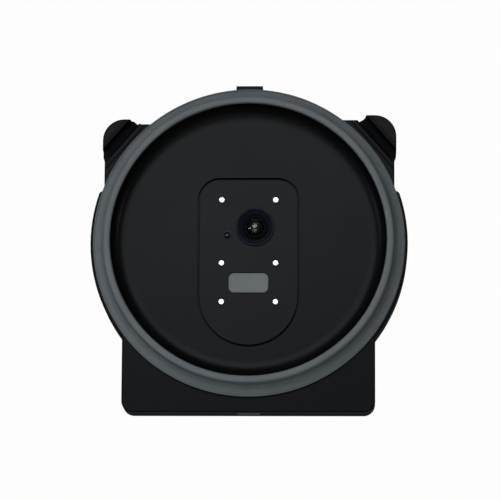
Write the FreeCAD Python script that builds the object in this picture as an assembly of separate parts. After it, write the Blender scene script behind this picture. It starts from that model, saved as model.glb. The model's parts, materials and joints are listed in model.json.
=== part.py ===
import FreeCAD, Part
import math
import os
from FreeCAD import Vector

# Guide camera built into a round gasketed cover, in millimetres.
# The cover lies on its outer face. +Z is the way the camera looks, +Y runs from the skirt to
# the top hook, and +X is to the right. Pieces are drawn about the drum's axis and
# moved at the end, so that the origin is the middle of the base.

# ---- cover shell
wall = 3.0                      # moulded wall
over = 2.0                      # a cut starts this far outside the piece it opens
sink = 0.5                      # a post or rib starts this far inside the piece it stands on
shell_depth = 24.0              # outer face to front face
flange_radius = 125.0
flange_top_y = 41.0             # the flange shows below this height
upper_radius = 121.5            # shell behind the upper half of the gasket
skirt_width = 198.4
skirt_reach = 134.6             # drum axis to the skirt's lower edge
skirt_corner = 9.0
hook_width = 21.0
hook_stand_out = 4.5             # hook's top beyond the shell's upper edge
hook_thickness = 9.0
hook_lip = 2.0
shoulder_x = 114.6              # the step between an ear and the flange
ear_x = 116.2
ear_top = 101.0                 # mean height of the two ears
ear_stagger = 1.6               # the right ear stands this much higher, the left one lower
ear_shoulder_drop = 4.0         # from an ear's top down to the hollow beside it
ear_corner = 17.0
ear_dip_radius = 9.0            # hollow in the outline above each ear's groove
ear_side_dip_radius = 12.0      # the same beside it
ear_side_drop = 36.0             # from an ear's top down to the middle of that hollow
ear_brow = 3.0                   # rounding of the ear's corners beside the hollows
ear_inner_x = 80.0
outline_fillet = 3.0
edge_round = 1.2
ear_angle = 41.0                # the grooves cross the ears at this angle
rib_start = 124.2                # ear features, as distances from the drum axis
rib_width = 1.5
rib_rise = 0.8
groove_brow = 127.4              # where the face starts to roll down into the groove
groove_inner = 129.6
groove_outer = 136.2
groove_end = 136.8
groove_depth = 9.0
brow_drop = 1.6
brow_fullness = 0.62            # how full the roll is
brow_draft = 0.4                # the wall below the brow leans out by this much
brow_toe = 1.0
ridge_width = 0.9
ridge_gap = 0.9
ridge_rise = 0.5
shell_opening_radius = 88.0

# ---- rear cover
cover_thickness = 3.0
cover_clearance = 0.3
cover_screw_ring = 111.0
cover_screw_angles = (-20, 20, 62, 118, 160, 200)
cover_boss_radius = 3.6
skirt_screw_inset = 13.0         # from the skirt's edges
cover_rib_radii = (40.0, 72.0)
cover_rib_height = 0.6
rib_thickness = 1.6
cover_screw_length = 10.0
cover_screw_hole = 12.0         # above the cover
thread_bite = 0.02              # a screw's shank is this much slimmer than its hole

# ---- drum dish
drum_radius = 111.0             # outside of the drum wall
drum_wall = 2.8
drum_height = 16.0              # above the shell's front face
floor_rise = 6.0                # dish floor above the shell's front face
floor_thickness = 3.0
cove_width = 12.5               # hollow sweep from the dish floor up into the drum wall
cove_height = 9.0
dish_screw_count = 8
dish_screw_ring = 95.0
dish_boss_radius = 4.0
dish_bevel = 2.0                # underside, from the floor out to the drum wall's foot
dish_foot_step = 0.6
dish_skin = 1.2                 # floor left over each screw hole
dish_screw_grip = 4.0           # of the screws in their bosses
ledge_width = 5.0
ledge_thickness = 2.5

# ---- soft gasket
gasket_clearance = 0.2
lip_overhang = 2.7               # of the lip, inside the drum wall's outer face
lip_stand_out = 2.9              # of the lip, outside it
lip_height = 4.3                # above the drum wall
lip_crown = 2.35                # rise of the lip's round top
crease_height = 7.2             # crease between lip and band, above the shell's face
crease_step = 0.9
band_width = 8.9                # flared band, beyond the lip
band_height = 3.3               # its outer edge above the shell's face
band_edge = 0.8
band_thickness = 1.9
band_sag = 1.3                  # how far the band hollows below a straight line

# ---- camera plate
plate_half_width = 38.7
plate_top = 49.1
plate_bottom = -82.4
plate_corner = 16.0
plate_thickness = 3.0
plate_gap = 1.5                 # groove between the plate and the dish floor
plate_edge_round = 0.4
plate_screw_length = 10.0
plate_screw_hole = 12.0
seal_inset = 0.4
seal_thickness = 1.0
plate_screw_x = 21.2
plate_screw_rows = (32.7, -17.6, -48.4)

# ---- screws
small_screw_radius = 1.25       # M2.5
small_head_radius = 2.5
small_head_height = 1.5
tiny_screw_radius = 1.0         # M2
tiny_head_radius = 1.9
tiny_head_height = 1.2
shell_screw_radius = 1.5        # M3
shell_head_radius = 2.8
shell_head_height = 1.8
head_recess = 2.0
dome_share = 0.45               # of a pan head's height taken by its round edge
drive_width = 0.5
screw_play = 0.25
recess_play = 0.4

# ---- lens, M12 thread
lens_x = 5.0
lens_y = 11.3
bezel_radius = 15.2
bezel_proud = 1.5
bezel_gap = 0.2
bezel_rim = 1.2
bezel_flange = 1.6
bezel_steps = 4                 # stray-light steps down to the barrel
bezel_land = 1.3                # lowest step above the plate's underside
bezel_flange_thickness = 1.0    # flange under the plate
bezel_edge = 0.5
bezel_step_draft = 0.25
barrel_head_radius = 9.5
barrel_head_height = 5.5
barrel_proud = 1.0              # barrel's top above the plate
barrel_thread_radius = 6.0
barrel_length = 18.0
barrel_bore = 5.1
barrel_play = 0.3
barrel_edge = 0.4
grip_count = 24                 # fine notches round the barrel's head
grip_radius = 0.35
grip_start = 1.0                # from either end of the head
glass_play = 0.05
glass_hollow = 1.2
glass_seat = 0.1
glass_radius = 7.0
glass_crown = 1.2
front_glass_thickness = 2.9
lens_land = 1.2                  # flat rim of the inner lenses, on which the spacer bears
barrel_toe = 0.8                 # inner lip at the barrel's foot
retaining_ring_height = 1.4
retaining_ring_wall = 1.5
key_slot = 0.4                  # half the width of the ring's two key slots
glass_hold = 0.2                # of the ring over the front lens
middle_lens_radius = 4.9
middle_lens_thickness = 2.6
middle_lens_hollow = 0.7
rear_lens_radius = 4.9
rear_lens_thickness = 2.2
rear_lens_crown = 0.5
lens_spacing = 2.6
thread_play = 0.05
lock_ring_radius = 8.4
lock_ring_height = 2.0
lock_ring_gap = 0.5
lock_notch_count = 6
lock_notch_depth = 0.8
holder_tube_radius = 7.6
focus_room = 0.7                # below the barrel, so that it can be screwed in
holder_base = 20.0
holder_base_thickness = 2.4
holder_ear = 4.2
holder_step = 1.2
holder_corner = 2.0
chamber_play = 1.0              # round the sensor
filter_radius = 4.8
filter_thickness = 0.4
sensor_size = 7.4
sensor_height = 1.1
filter_gap = 1.0

# ---- boards
board_thickness = 1.6
sensor_board_width = 50.0
sensor_board_height = 32.0
sensor_board_x = -2.5
sensor_board_shift = 1.5        # up from the lens
main_board_width = 34.0
main_board_top = -9.0
main_board_bottom = -70.0
main_board_z = 17.0
processor_size = (12.0, 12.0, 1.2)
memory_size = (8.0, 10.0, 1.0)
wireless_size = (13.0, 12.0, 2.2)
chip_row_y = -52.0
memory_gap = 0.5
wireless_y = -20.0
board_post_radius = 2.6
board_screw_inset = 4.0
board_screw_hole = 3.0
board_screw_grip = 2.4
board_hole_play = 0.1
board_corner = 1.5
light_x = -17.0
light_y = 4.6
light_dome_radius = 2.5
light_dome_height = 1.2
light_guide_radius = 1.6
light_flange_radius = 3.4
light_flange_thickness = 1.0
light_play = 0.1
light_chip_size = 2.0
light_chip_height = 0.7

# ---- module tray behind the plate
tray_wall = 2.0
tray_floor_z = 4.0
tray_rim = 2.5
tray_rim_inset = 0.4
tray_boss_radius = 3.3
tray_slot_play = 1.2            # round the leads that pass through the tray's wall

# ---- button
button_y = -33.2
button_width = 31.0
button_height = 15.4
button_corner = 4.0
button_gap = 0.6
button_proud = 0.4
button_edge = 0.5
button_press = 2.3              # radius of the post that presses on the switch
button_flange = 1.5
button_flange_thickness = 1.3
button_travel = 0.8
button_play = 0.2
switch_size = 6.0
switch_height = 4.3
switch_stem_radius = 1.7
switch_stem_height = 1.4
switch_corner = 0.6
switch_well_play = 0.1
switch_stem_root = 1.0          # of the stem inside the switch at rest
switch_well_spare = 1.2         # below the stem when it is pressed

# ---- power
cell_radius = 9.2               # 18650
cell_length = 65.0
cell_x = 60.0
cell_y = -4.0
cell_play = 0.3
holder_wall = 1.6
spring_gap = 3.2
cell_cap_radius = 2.8
cell_cap_height = 1.6
contact_half = 6.0
contact_thickness = 0.4
spring_turns = 4
spring_taper = 0.8
spring_pitch = 0.7
contact_nub_radius = 2.4
contact_gap = 0.05
cell_lift = 0.02
spring_radius = 3.5
lead_radius = 0.8
lead_pitch = 2.4                # between the two leads of a pair
lead_start = 3.0                # from the main board's side
lead_drop = 16.0                # from its upper edge
lead_lift = 0.1

# ---- charging port
port_z = 12.8
port_width = 8.9
port_height = 3.2
port_depth = 7.4
port_setback = 0.6
port_play = 0.15
port_lead = 0.8                 # the port's mouth in front of its board
port_shell = 0.3
port_back = 0.8
port_tongue = (6.6, 0.7)        # width and thickness
port_tongue_start = 1.2
board_play = 0.3
usb_board_width = 20.0
usb_board_depth = 16.0
plug_width = 18.0
plug_height = 9.0
plug_thickness = 1.8
plug_play = 0.3
plug_tongue_width = 8.2
plug_tongue_height = 2.6
plug_tongue_depth = 2.0
tongue_play = 0.9
nail_radius = 3.0                # scoop under the plug, for a fingernail
nail_width = 8.0
nail_depth = 1.4
plug_pad_thickness = 3.2
plug_corner = 1.4
pad_gap = 0.2                   # from the rear cover to the shell's pad behind the plug
ribbon_width = 6.0
ribbon_thickness = 1.0
ribbon_land = 1.0               # on the charging board
ribbon_reach = 6.0              # past the main board's lower edge
flex_width = 10.0
flex_thickness = 0.3
flex_gap = 1.5                  # from the main board's edge to the fold
flex_land = 4.3                 # on either board

# ---- levels and centres worked out from the sizes above
hook_reach = upper_radius + hook_stand_out
skirt_screw_x = skirt_width / 2 - skirt_screw_inset
skirt_screw_y = -skirt_reach + skirt_screw_inset
lip_inner_radius = drum_radius - lip_overhang
lip_outer_radius = drum_radius + lip_stand_out
band_radius = lip_outer_radius + band_width
plug_radius = plug_thickness / 2       # rounded upper edge, which the plug swings on
face_top = shell_depth
face_bottom = shell_depth - wall
floor_top = face_top + floor_rise
floor_bottom = floor_top - floor_thickness
drum_top = face_top + drum_height
lip_top = drum_top + lip_height
drum_inner_radius = drum_radius - drum_wall
plate_bottom_z = floor_top - plate_thickness
ledge_top = plate_bottom_z - seal_thickness
ledge_bottom = ledge_top - ledge_thickness
plate_arc_y = plate_bottom + plate_half_width
barrel_top = floor_top + barrel_proud
barrel_bottom = barrel_top - barrel_length
head_bottom = barrel_top - barrel_head_height
lock_ring_top = head_bottom - lock_ring_gap
lock_ring_bottom = lock_ring_top - lock_ring_height
holder_top = lock_ring_bottom - lock_ring_gap
filter_z = barrel_bottom - focus_room - filter_thickness
sensor_board_top = filter_z - filter_gap - sensor_height
sensor_board_z = sensor_board_top - board_thickness
sensor_board_y = lens_y + sensor_board_shift
main_board_top_z = main_board_z + board_thickness
usb_board_z = port_z - port_height / 2 - board_thickness
ring_offset = (skirt_reach - hook_reach) / 2

UP = Vector(0, 0, 1)


def box(x0, x1, y0, y1, z0, z1):
    return Part.makeBox(x1 - x0, y1 - y0, z1 - z0, Vector(x0, y0, z0))


def disc(radius, z0, z1, x=0.0, y=0.0):
    return Part.makeCylinder(radius, z1 - z0, Vector(x, y, z0), UP)


def tube(outer, inner, z0, z1, x=0.0, y=0.0):
    return disc(outer, z0, z1, x, y).cut(disc(inner, z0, z1, x, y))


def raise_face(face, z0, z1):
    """Solid between two heights with the outline of a flat face drawn at height zero."""
    lifted = face.copy()
    lifted.translate(Vector(0, 0, z0))
    return lifted.extrude(Vector(0, 0, z1 - z0))


def rounded_rectangle(width, height, radius, x=0.0, y=0.0):
    """Flat face of a rectangle whose four corners are arcs."""
    hw = width / 2
    hh = height / 2
    slant = radius * (1 - math.sqrt(0.5))
    edges = []
    for turn in range(4):
        across, along = (hw, hh) if turn % 2 == 0 else (hh, hw)
        points = [
            Vector(across, -along + radius, 0),
            Vector(across, along - radius, 0),
            Vector(across - slant, along - slant, 0),
            Vector(across - radius, along, 0),
        ]
        spin = FreeCAD.Rotation(UP, 90 * turn)
        points = [spin.multVec(p) + Vector(x, y, 0) for p in points]
        if points[0].distanceToPoint(points[1]) > 1e-6:
            edges.append(Part.LineSegment(points[0], points[1]).toShape())
        edges.append(Part.Arc(points[1], points[2], points[3]).toShape())
    return Part.Face(Part.Wire(edges))


def shield(inset):
    """Flat face of the camera plate's outline, drawn in from its edge by inset."""
    hw = plate_half_width - inset
    top = plate_top - inset
    radius = max(plate_corner - inset, 1.0)
    slant = radius * (1 - math.sqrt(0.5))
    left = [
        Vector(-hw, plate_arc_y, 0),
        Vector(-hw, top - radius, 0),
        Vector(-hw + slant, top - slant, 0),
        Vector(-hw + radius, top, 0),
    ]
    right = [Vector(-p.x, p.y, 0) for p in left]
    low = Vector(0, plate_arc_y - hw, 0)
    return Part.Face(
        Part.Wire(
            [
                Part.LineSegment(left[0], left[1]).toShape(),
                Part.Arc(left[1], left[2], left[3]).toShape(),
                Part.LineSegment(left[3], right[3]).toShape(),
                Part.Arc(right[3], right[2], right[1]).toShape(),
                Part.LineSegment(right[1], right[0]).toShape(),
                Part.Arc(right[0], low, left[0]).toShape(),
            ]
        )
    )


def revolve(points):
    """Solid of revolution about the Z axis. Two numbers are the (radius, height) of a line's
    end, four are an arc's middle and its end, and a list of four is a soft bend's pole and end."""
    edges = []
    start = Vector(points[0][0], 0, points[0][1])
    first = start
    for point in points[1:]:
        if isinstance(point, list):
            end = Vector(point[2], 0, point[3])
            curve = Part.BezierCurve()
            curve.setPoles([start, Vector(point[0], 0, point[1]), end])
            edges.append(curve.toShape())
        elif len(point) == 4:
            middle = Vector(point[0], 0, point[1])
            end = Vector(point[2], 0, point[3])
            edges.append(Part.Arc(start, middle, end).toShape())
        else:
            end = Vector(point[0], 0, point[1])
            edges.append(Part.LineSegment(start, end).toShape())
        start = end
    edges.append(Part.LineSegment(start, first).toShape())
    return Part.Face(Part.Wire(edges)).revolve(Vector(0, 0, 0), UP, 360)


def cap_middle(radius, rise, z, share=0.5):
    """A point on the spherical cap that rises by rise from a circle at height z."""
    sphere = (radius ** 2 + rise ** 2) / (2 * rise)
    angle = math.asin(radius / sphere) * share
    return sphere * math.sin(angle), z + rise - sphere + sphere * math.cos(angle)


def moved(shape, x=0.0, y=0.0, z=0.0):
    copy = shape.copy()
    copy.translate(Vector(x, y, z))
    return copy


def joined(shapes):
    return shapes[0].fuse(shapes[1:]).removeSplitter()


def mirrored(shape):
    return shape.mirror(Vector(0, 0, 0), Vector(1, 0, 0))


def screw(radius, head_radius, head_height, x, y, head_z, length):
    """Plain screw pointing down: the head stands on head_z, and the shank goes below."""
    return disc(head_radius, head_z, head_z + head_height, x, y).fuse(
        disc(radius, head_z - length, head_z, x, y))


def pan_screw(radius, head_radius, head_height, x, y, head_z, length):
    """Screw pointing down whose domed head has a cross recess."""
    head = disc(head_radius, head_z, head_z + head_height, x, y)
    rim = [e for e in head.Edges if abs(e.BoundBox.ZMin - head_z - head_height) < 1e-6]
    head = head.makeFillet(head_height * dome_share, rim)
    drive = box(x - head_radius / 2, x + head_radius / 2, y - drive_width / 2, y + drive_width / 2,
                head_z + head_height / 2, head_z + head_height)
    cross = drive.copy()
    cross.rotate(Vector(x, y, 0), UP, 90)
    shank = disc(radius, head_z - length, head_z, x, y)
    return head.cut([drive, cross]).fuse(shank)


def upside_down(shape, z):
    """The same shape turned over about the height z."""
    return shape.mirror(Vector(0, 0, z), UP)


def ear_frame(shape):
    """Turns a shape drawn along +X, seen from the drum axis, to the right ear."""
    turned = shape.copy()
    turned.rotate(Vector(0, 0, 0), UP, ear_angle)
    return turned


def ear_lobe(top):
    """Right ear, 1 mm thick, with the hollows in its outline above and beside the groove."""
    far = 3 * flange_radius
    shoulder_y = top - ear_shoulder_drop
    side_y = top - ear_side_drop
    lobe = raise_face(rounded_rectangle(2 * (ear_x - ear_inner_x), 2 * (top - flange_top_y),
                                        ear_corner, ear_inner_x, flange_top_y), 0, 1)
    lobe = lobe.common(box(ear_inner_x, far, flange_top_y, far, 0, 1))
    dip_x = ear_inner_x + ear_dip_radius / 2
    lobe = lobe.cut([
        disc(ear_dip_radius, 0, 1, dip_x, shoulder_y + ear_dip_radius),
        box(0, dip_x, shoulder_y, far, 0, 1),
        disc(ear_side_dip_radius, 0, 1, shoulder_x + ear_side_dip_radius, side_y),
        box(shoulder_x, far, 0, side_y, 0, 1),
    ])
    web = box(ear_inner_x - ear_corner, ear_inner_x, 0, shoulder_y, 0, 1)
    return joined([lobe, web])


def cover_outline():
    """Outline of the shell as a flat face: flange, upper disc, skirt, ears and their hollows."""
    far = 3 * flange_radius
    flange = disc(flange_radius, 0, 1).common(box(-far, far, -far, flange_top_y, 0, 1))
    skirt_height = skirt_reach + flange_top_y
    skirt = raise_face(rounded_rectangle(skirt_width, skirt_height, skirt_corner,
                                         0, flange_top_y - skirt_height / 2), 0, 1)
    skirt = skirt.common(box(-far, far, -far, 0, 0, 1))
    right = ear_lobe(ear_top + ear_stagger)
    left = mirrored(ear_lobe(ear_top - ear_stagger))
    shoulder = box(-shoulder_x, shoulder_x, 0, ear_top - ear_side_drop + ear_stagger, 0, 1)
    whole = joined([disc(upper_radius, 0, 1), flange, skirt, right, left, shoulder])
    base = max((f for f in whole.Faces if abs(f.BoundBox.ZMax) < 1e-6), key=lambda f: f.Area)
    wire = base.OuterWire.makeOffset2D(outline_fillet).makeOffset2D(-outline_fillet)
    wire = wire.makeOffset2D(-ear_brow).makeOffset2D(ear_brow)
    return Part.Face(wire)


def drawn_in(face, distance):
    """Flat face whose edge runs inside the given one by distance."""
    return Part.Face(face.OuterWire.makeOffset2D(-distance))


def across_ear(section):
    """Prism across the right ear; the section is (distance from the drum axis, height)."""
    corners = [Vector(x, -2 * ear_corner, z) for x, z in section]
    face = Part.Face(Part.makePolygon(corners + [corners[0]]))
    return ear_frame(face.extrude(Vector(0, 4 * ear_corner, 0)))


def groove_cutter():
    """Finger groove, with a rolled brow on its inner side, and what lies outside its ridges."""
    low = face_top - groove_depth
    brow_low = face_top - brow_drop
    full = groove_brow + (groove_inner - groove_brow) * brow_fullness
    start = Vector(groove_brow, -2 * ear_corner, face_top)
    middle = Vector(full, -2 * ear_corner, face_top - brow_drop * (1 - brow_fullness))
    end = Vector(groove_inner - brow_draft, -2 * ear_corner, brow_low - brow_toe)
    walls = [end,
             Vector(groove_inner, -2 * ear_corner, low),
             Vector(groove_outer, -2 * ear_corner, low),
             Vector(groove_end, -2 * ear_corner, face_top),
             Vector(groove_end, -2 * ear_corner, face_top + over),
             Vector(groove_brow, -2 * ear_corner, face_top + over),
             start]
    wire = Part.Wire([Part.Arc(start, middle, end).toShape()] + list(Part.makePolygon(walls).Edges))
    return ear_frame(Part.Face(wire).extrude(Vector(0, 4 * ear_corner, 0)))


def groove_lining():
    """The groove's shape one wall thickness out, kept free of the shell's cavity."""
    low = face_top - groove_depth - wall
    return across_ear([(groove_brow - wall, face_top), (groove_inner - wall, low),
                       (groove_outer + wall, low), (groove_end + wall, face_top)])


def ear_rib(start, width, rise):
    """Low rounded rib along the groove."""
    return across_ear([(start, face_top - 1), (start, face_top + rise * 0.6),
                       (start + width * 0.35, face_top + rise), (start + width * 0.65, face_top + rise),
                       (start + width, face_top + rise * 0.3), (start + width, face_top - 1)])


def boss_points():
    """Where the rear cover is screwed to the shell."""
    points = []
    for angle in cover_screw_angles:
        a = math.radians(angle)
        points.append((cover_screw_ring * math.cos(a), cover_screw_ring * math.sin(a)))
    points.append((skirt_screw_x, skirt_screw_y))
    points.append((-skirt_screw_x, skirt_screw_y))
    return points


def plug_recess():
    """Pocket in the skirt's lower wall for the charging port's plug, with its scoop for a nail."""
    low = port_z - plug_height / 2
    pocket = box(-plug_width / 2 - plug_play, plug_width / 2 + plug_play,
                 -skirt_reach - 1, -skirt_reach + plug_thickness + plug_play,
                 low - plug_play, port_z + plug_height / 2 + plug_play)
    scoop = Part.makeCylinder(nail_radius, nail_width,
                              Vector(-nail_width / 2, -skirt_reach + nail_depth - nail_radius, low),
                              Vector(1, 0, 0))
    return pocket.fuse(scoop)


def outer_shell():
    outline = cover_outline()
    body = raise_face(outline, 0, shell_depth)
    rim = [e for e in body.Edges
           if abs(e.BoundBox.ZMin - shell_depth) < 1e-6 and abs(e.BoundBox.ZMax - shell_depth) < 1e-6]
    body = body.makeFillet(edge_round, rim)
    cavity = raise_face(drawn_in(outline, wall), -1, face_bottom)
    lining = groove_lining()
    cavity = cavity.cut([lining, mirrored(lining)])
    body = body.cut(cavity)
    ribs = [ear_rib(rib_start, rib_width, rib_rise),
            ear_rib(groove_end, ridge_width, ridge_rise),
            ear_rib(groove_end + ridge_width + ridge_gap, ridge_width, ridge_rise)]
    inside = raise_face(drawn_in(outline, edge_round), face_top - 1, face_top + 1)
    ribs = [rib.common(inside) for rib in ribs + [mirrored(rib) for rib in ribs]]
    body = body.fuse(ribs)
    groove = groove_cutter()
    body = body.cut([groove, mirrored(groove)])
    body = body.cut(disc(shell_opening_radius, -1, shell_depth + 1))
    extras = []
    hook = box(-hook_width / 2, hook_width / 2, upper_radius - 2, hook_reach,
               face_top - hook_thickness, face_top)
    catch = box(-hook_width / 2, hook_width / 2, hook_reach - hook_lip, hook_reach,
                face_top - hook_thickness - hook_lip, face_top - hook_thickness)
    extras += [hook, catch]
    for x, y in boss_points():
        extras.append(disc(cover_boss_radius, cover_thickness, face_bottom + sink, x, y))
    pad_half = plug_width / 2 + plug_play + wall
    pad = box(-pad_half, pad_half, -skirt_reach + wall - sink, -skirt_reach + wall + plug_pad_thickness,
              cover_thickness + pad_gap, face_bottom + sink)
    extras.append(pad)
    body = body.fuse(extras)
    cuts = []
    for x, y in boss_points():
        cuts.append(disc(shell_screw_radius, -1, cover_thickness + cover_screw_hole, x, y))
    for i in range(dish_screw_count):
        a = 2 * math.pi * (i + 0.5) / dish_screw_count
        cuts.append(disc(shell_screw_radius + screw_play, face_bottom - 1, face_top + 1,
                         dish_screw_ring * math.cos(a), dish_screw_ring * math.sin(a)))
    cuts.append(plug_recess())
    cuts.append(box(-plug_tongue_width / 2 - tongue_play, plug_tongue_width / 2 + tongue_play,
                    -skirt_reach, -skirt_reach + wall + plug_pad_thickness + 1,
                    port_z - plug_tongue_height / 2 - tongue_play,
                    port_z + plug_tongue_height / 2 + tongue_play))
    port_y = port_front()
    inner_y = -skirt_reach + 3 * plug_width / 2
    cuts.append(box(-port_width / 2 - port_play, port_width / 2 + port_play, port_y, inner_y,
                    port_z - port_height / 2 - port_play, port_z + port_height / 2 + port_play))
    cuts.append(box(-usb_board_width / 2 - board_play, usb_board_width / 2 + board_play,
                    port_y + port_lead, inner_y, usb_board_z - board_play, port_z))
    return body.cut(cuts).removeSplitter()


def port_front():
    return -skirt_reach + plug_thickness + plug_play + plug_tongue_depth + port_setback


def rear_cover():
    plate = raise_face(drawn_in(cover_outline(), wall + cover_clearance), 0, cover_thickness)
    for radius in cover_rib_radii:
        plate = plate.fuse(tube(radius + rib_thickness, radius, cover_thickness - sink,
                                cover_thickness + cover_rib_height))
    posts = [disc(board_post_radius, cover_thickness - sink, usb_board_z, x, usb_post_y())
             for x in usb_post_x()]
    plate = plate.fuse(posts)
    cuts = []
    for x, y in boss_points():
        cuts.append(disc(shell_screw_radius + screw_play, -1, cover_thickness + 1, x, y))
        cuts.append(disc(shell_head_radius + recess_play, -1, head_recess, x, y))
    for x in usb_post_x():
        cuts.append(disc(tiny_screw_radius, cover_thickness, usb_board_z + 1, x, usb_post_y()))
    return plate.cut(cuts).removeSplitter()


def rear_cover_screws():
    screws = []
    for x, y in boss_points():
        one = screw(shell_screw_radius - thread_bite, shell_head_radius, shell_head_height, x, y, 0,
                    cover_screw_length)
        screws.append(moved(upside_down(one, 0), 0, 0, head_recess))
    return Part.makeCompound(screws)


def inner_dish():
    cove_start = drum_inner_radius - cove_width
    section = [
        (0, floor_bottom),
        (drum_inner_radius - dish_bevel, floor_bottom),
        (drum_inner_radius - dish_foot_step, face_top),
        (drum_radius, face_top),
        (drum_radius, drum_top),
        (drum_inner_radius, drum_top),
        (drum_inner_radius, floor_top + cove_height),
        [drum_inner_radius, floor_top, cove_start, floor_top],
        (0, floor_top),
    ]
    dish = revolve(section)
    ledge = raise_face(shield(-plate_gap - wall), ledge_bottom, floor_bottom + sink)
    bosses = []
    for i in range(dish_screw_count):
        a = 2 * math.pi * (i + 0.5) / dish_screw_count
        bosses.append(disc(dish_boss_radius, face_top, floor_bottom + sink,
                           dish_screw_ring * math.cos(a), dish_screw_ring * math.sin(a)))
    dish = dish.fuse([ledge] + bosses)
    cuts = [raise_face(shield(-plate_gap), ledge_top, floor_top + 1),
            raise_face(shield(ledge_width), ledge_bottom - 1, floor_top + 1)]
    for i in range(dish_screw_count):
        a = 2 * math.pi * (i + 0.5) / dish_screw_count
        cuts.append(disc(shell_screw_radius, face_top - 1, floor_top - dish_skin,
                         dish_screw_ring * math.cos(a), dish_screw_ring * math.sin(a)))
    return dish.cut(cuts).removeSplitter()


def dish_screws():
    screws = []
    for i in range(dish_screw_count):
        a = 2 * math.pi * (i + 0.5) / dish_screw_count
        one = screw(shell_screw_radius - thread_bite, shell_head_radius, shell_head_height,
                    dish_screw_ring * math.cos(a), dish_screw_ring * math.sin(a), 0, wall + dish_screw_grip)
        screws.append(moved(upside_down(one, 0), 0, 0, face_bottom))
    return Part.makeCompound(screws)


def drum_gasket():
    """Soft ring over the drum wall: a rounded lip on top and a hollow flared band round it."""
    sleeve = drum_radius + gasket_clearance
    lip_middle = (lip_inner_radius + lip_outer_radius) / 2
    lip_side = lip_top - lip_crown
    crease_x = lip_outer_radius + crease_step
    crease_z = face_top + crease_height
    edge_x = band_radius - band_edge
    edge_z = face_top + band_height
    under_z = crease_z - band_thickness
    section = [
        (sleeve, face_top),
        (sleeve, drum_top),
        (lip_inner_radius, drum_top),
        (lip_inner_radius, lip_side),
        (lip_middle, lip_top, lip_outer_radius, lip_side),
        (crease_x, crease_z),
        sagging(crease_x, crease_z, edge_x, edge_z) + [edge_x, edge_z],
        (band_radius, edge_z - band_thickness / 2, edge_x, edge_z - band_thickness),
        sagging(lip_outer_radius, under_z, edge_x, edge_z - band_thickness)
        + [lip_outer_radius, under_z],
        (lip_outer_radius, face_top),
    ]
    return revolve(section)


def sagging(x0, z0, x1, z1):
    """Pole of the soft bend that hollows by band_sag below a line falling outward."""
    length = math.hypot(x1 - x0, z1 - z0)
    return [(x0 + x1) / 2 - 2 * band_sag * (z0 - z1) / length,
            (z0 + z1) / 2 - 2 * band_sag * (x1 - x0) / length]


def light_hole(radius):
    return disc(radius, ledge_bottom, floor_top + 1, light_x, light_y)


def camera_plate():
    plate = raise_face(shield(0), plate_bottom_z, floor_top)
    rim = [e for e in plate.Edges
           if abs(e.BoundBox.ZMin - floor_top) < 1e-6 and abs(e.BoundBox.ZMax - floor_top) < 1e-6]
    plate = plate.makeFillet(plate_edge_round, rim)
    cuts = [disc(bezel_radius + bezel_gap, plate_bottom_z - 1, floor_top + 1, lens_x, lens_y),
            light_hole(light_dome_radius + light_play),
            raise_face(button_outline(button_gap), plate_bottom_z - 1, floor_top + 1)]
    for x, y in plate_screw_points():
        cuts.append(disc(small_screw_radius + screw_play, plate_bottom_z - 1, floor_top + 1, x, y))
    return plate.cut(cuts)


def plate_screw_points():
    return [(side * plate_screw_x, y) for y in plate_screw_rows for side in (-1, 1)]


def plate_screws():
    return Part.makeCompound([
        pan_screw(small_screw_radius - thread_bite, small_head_radius, small_head_height, x, y,
                  floor_top, plate_screw_length)
        for x, y in plate_screw_points()])


def plate_seal():
    outer = raise_face(shield(seal_inset), ledge_top, plate_bottom_z)
    return outer.cut(raise_face(shield(ledge_width), ledge_top - 1, floor_top))


def module_tray():
    rim = raise_face(shield(tray_rim_inset), ledge_bottom - tray_rim, ledge_bottom)
    cup = raise_face(shield(ledge_width), tray_floor_z, ledge_bottom)
    hollow = raise_face(shield(ledge_width + tray_wall), tray_floor_z + tray_wall, ledge_bottom + 1)
    tray = rim.fuse(cup).cut(hollow)
    posts = []
    holes = []
    for x, y in plate_screw_points():
        posts.append(disc(tray_boss_radius, tray_floor_z + sink, plate_bottom_z, x, y))
        holes.append(disc(small_screw_radius, floor_top - plate_screw_hole, floor_top, x, y))
    for x, y in sensor_board_points():
        posts.append(disc(board_post_radius, tray_floor_z + sink, sensor_board_z, x, y))
        holes.append(disc(tiny_screw_radius, sensor_board_z - board_screw_hole, floor_top, x, y))
    for x, y in main_board_points():
        posts.append(disc(board_post_radius, tray_floor_z + sink, main_board_z, x, y))
        holes.append(disc(tiny_screw_radius, main_board_z - board_screw_hole, floor_top, x, y))
    slot = box(-ribbon_width / 2 - tray_slot_play, ribbon_width / 2 + tray_slot_play,
               plate_bottom, plate_arc_y,
               ribbon_z() - tray_slot_play, ribbon_z() + ribbon_thickness + tray_slot_play)
    lead_slots = []
    for side in (-1, 1):
        reach = side * plate_half_width
        low, high = sorted((side * main_board_width / 2, reach))
        reach_round = lead_radius + tray_slot_play
        lead_slots.append(box(low, high, lead_y() - reach_round, lead_y() + lead_pitch + reach_round,
                              lead_z() - reach_round, lead_z() + reach_round))
    return tray.fuse(posts).cut(holes + [slot] + lead_slots).removeSplitter()


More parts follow.
